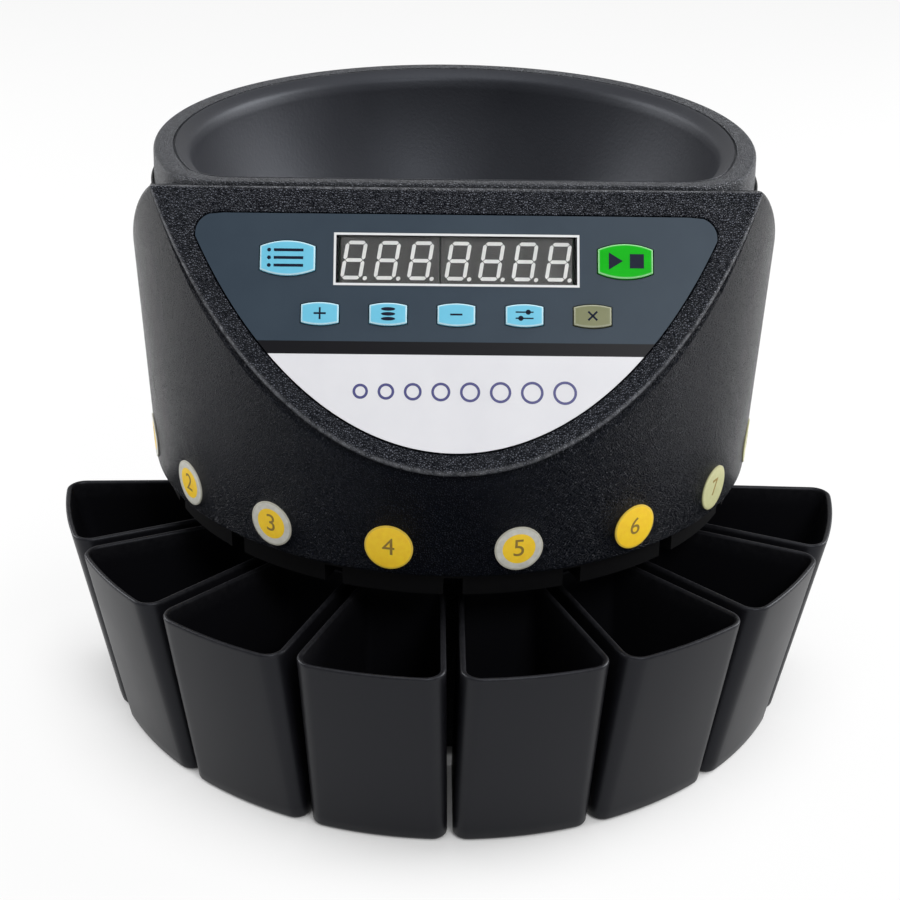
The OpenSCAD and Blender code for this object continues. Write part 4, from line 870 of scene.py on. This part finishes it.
foot = [(0.0, 0.0018), (0.0001, 0.0012), (0.0005, 0.0006), (0.0011, 0.0002), (0.0018, 0.0)]
outside = [(z, 0.0) for z in np.linspace(0.006, side_top, 14)]
lip = [(cup_h - lip_r + lip_r * math.sin(a), lip_r - lip_r * math.cos(a)) for a in np.linspace(0, np.pi, 9)]
inside = [(z, cup_wall) for z in np.linspace(side_top, 0.008, 12)]
inside += [(0.0056, 0.0024), (0.0042, 0.003), (0.0032, 0.004), (0.0027, 0.0054)]
cup_rows = [cup_ring(z, t) for z, t in foot + outside + lip + inside]
# Foot and lip get the paler edge: partly wear, partly painted highlight on the rim.
worn_and_lit = [0.25] * len(foot) + [0] * len(outside) + [0.5] * (len(lip) + 1) + [0] * (len(inside) - 1)
cup_edge = np.repeat([0, *worn_and_lit, 0], len(cup_rows[0]))
points, faces = grid(capped((0.0, cup_middle, 0.0), cup_rows, (0.0, cup_middle, cup_floor)), closed=True)
cup_black, tree, body, place = new_finish("cup_black", Specular_IOR_Level=0.2,
    Specular_Tint=(0.86, 0.9, 1.0, 1.0))
cloud, satin = noise(tree, place, 22.0, 5.0), noise(tree, place, 1900.0, 3.0)
wear_and_highlight = place_effect(tree, wear_and_edge_highlight, {"Vector": place, "Edge": carried(tree, "edge"), "Amount": 0.5})
colour = blend_colour(tree, cloud, (0.005, 0.005, 0.0065), (0.008, 0.008, 0.01))
# Paler lip and foot: partly wear, partly painted highlight.
colour = blend_colour(tree, wear_and_highlight.outputs["Wear"], colour, (0.06, 0.06, 0.065))
paint(tree, body, colour, spread(tree, cloud, 0.32, 0.44))
press_height(tree, body, satin, 0.25, 0.00003)
for number, angle in enumerate(label_angle):
    turned = points @ np.array(Matrix.Rotation(-angle, 3, "Z"))
    name = "coin_cup_%d" % (number + 1)
    make_piece(name + "_moulding", [(turned, faces)], cup_black, name, "cup_black", [name], sharp=60,
        edge=cup_edge)


# Studio: a plain white floor whose glow ambient occlusion cuts close to what stands on it, a painted contact
# shadow, and four soft square lamps, two at the sides, one above and one at the front right. A pale world,
# and a camera at the photograph's place.
def on_rays(tree, first, *more):
    """1 on light rays of the kinds named, 0 on others."""
    ray = shader(tree, "LightPath", {}, {})
    share = ray.outputs["Is %s Ray" % first]
    for kind in more:
        share = joined(tree, "MAXIMUM", share, ray.outputs["Is %s Ray" % kind])
    return share


floor_half, floor_z, floor_glow, contact_span = 6, -0.0002, 0.86, 0.045
corners = [(x * floor_half, y * floor_half, floor_z) for x, y in ((-1, -1), (1, -1), (1, 1), (-1, 1))]
floor_mesh = bpy.data.meshes.new("floor")
floor_mesh.from_pydata(corners, [], [(0, 1, 2, 3)])
floor = bpy.data.objects.new("floor", floor_mesh)
bpy.context.scene.collection.objects.link(floor)
floor_white, tree, body, _ = new_finish("floor_white", Base_Color=(0.8, 0.8, 0.8, 1.0), Roughness=0.7,
    Specular_IOR_Level=0.0)
glow = shader(tree, "Emission", {}, {"Color": (1.0, 1.0, 1.0, 1.0)})
# Painted contact shadow: ambient occlusion cuts the floor's glow close to what stands on it.
contact_shade = shader(tree, "AmbientOcclusion", {"samples": 8}, {"Distance": contact_span}).outputs["AO"]
share = joined(tree, "MULTIPLY", on_rays(tree, "Camera", "Transmission", "Glossy"), floor_glow)
share = joined(tree, "MULTIPLY", share, contact_shade)
lit = shader(tree, "MixShader", {}, {0: share, 1: body.outputs[0], 2: glow.outputs[0]})
tree.links.new(lit.outputs[0], tree.nodes["Material Output"].inputs["Surface"])
floor_mesh.materials.append(floor_white)

world = bpy.data.worlds.new("studio")
bpy.context.scene.world = world
world.use_nodes = True
tree = world.node_tree
tree.nodes.clear()
direct = spread(tree, on_rays(tree, "Camera", "Transmission"), 0.2, 1.0)
mirrored = spread(tree, on_rays(tree, "Glossy"), 0.0, 0.5)
strength = joined(tree, "MAXIMUM", direct, mirrored)
glow = shader(tree, "Background", {}, {"Color": (1.0, 1.0, 1.0, 1.0), "Strength": strength})
shader(tree, "OutputWorld", {}, {"Surface": glow.outputs[0]})


def soft_light(name, place, target, size, power):
    """Square area lamp at a place, turned to face a target."""
    lamp = bpy.data.lights.new(name, "AREA")
    lamp.size, lamp.energy = size, power
    holder = bpy.data.objects.new(name, lamp)
    place, target = (Vector(p) + Vector((0, axis_y, 0)) for p in (place, target))
    aim = (target - place).to_track_quat("-Z", "Y").to_matrix().to_4x4()
    holder.matrix_world = Matrix.Translation(place) @ aim
    bpy.context.scene.collection.objects.link(holder)


soft_light("side_left", (-1.3, 0.5, 0.75), (0, 0, 0.12), 0.9, 17)
soft_light("side_right", (1.3, 0.4, 0.75), (0, 0, 0.12), 0.9, 25)
soft_light("above", (0.0, -0.2, 1.6), (0, 0, 0.15), 1.0, 9)
soft_light("front_right", (0.45, -1.15, 1.25), (0, 0, 0.18), 0.45, 9)

camera = bpy.data.objects.new("camera", bpy.data.cameras.new("camera"))
camera.data.lens, camera.data.sensor_width = 73.57, 36.0
pitch_down, roll, yaw = math.radians(25.633), math.radians(0.937), math.radians(0.92)
camera_at = Matrix.Translation((0.0, -0.7467, 0.4567))
placed = Matrix.Translation((0.0, axis_y, 0.0)) @ Matrix.Rotation(-yaw, 4, "Z") @ camera_at
tilted = placed @ Matrix.Rotation(math.pi / 2 - pitch_down, 4, "X")
camera.matrix_world = tilted @ Matrix.Rotation(roll, 4, "Z")
bpy.context.scene.collection.objects.link(camera)
bpy.context.scene.camera = camera
bpy.context.scene.view_settings.view_transform = "Standard"
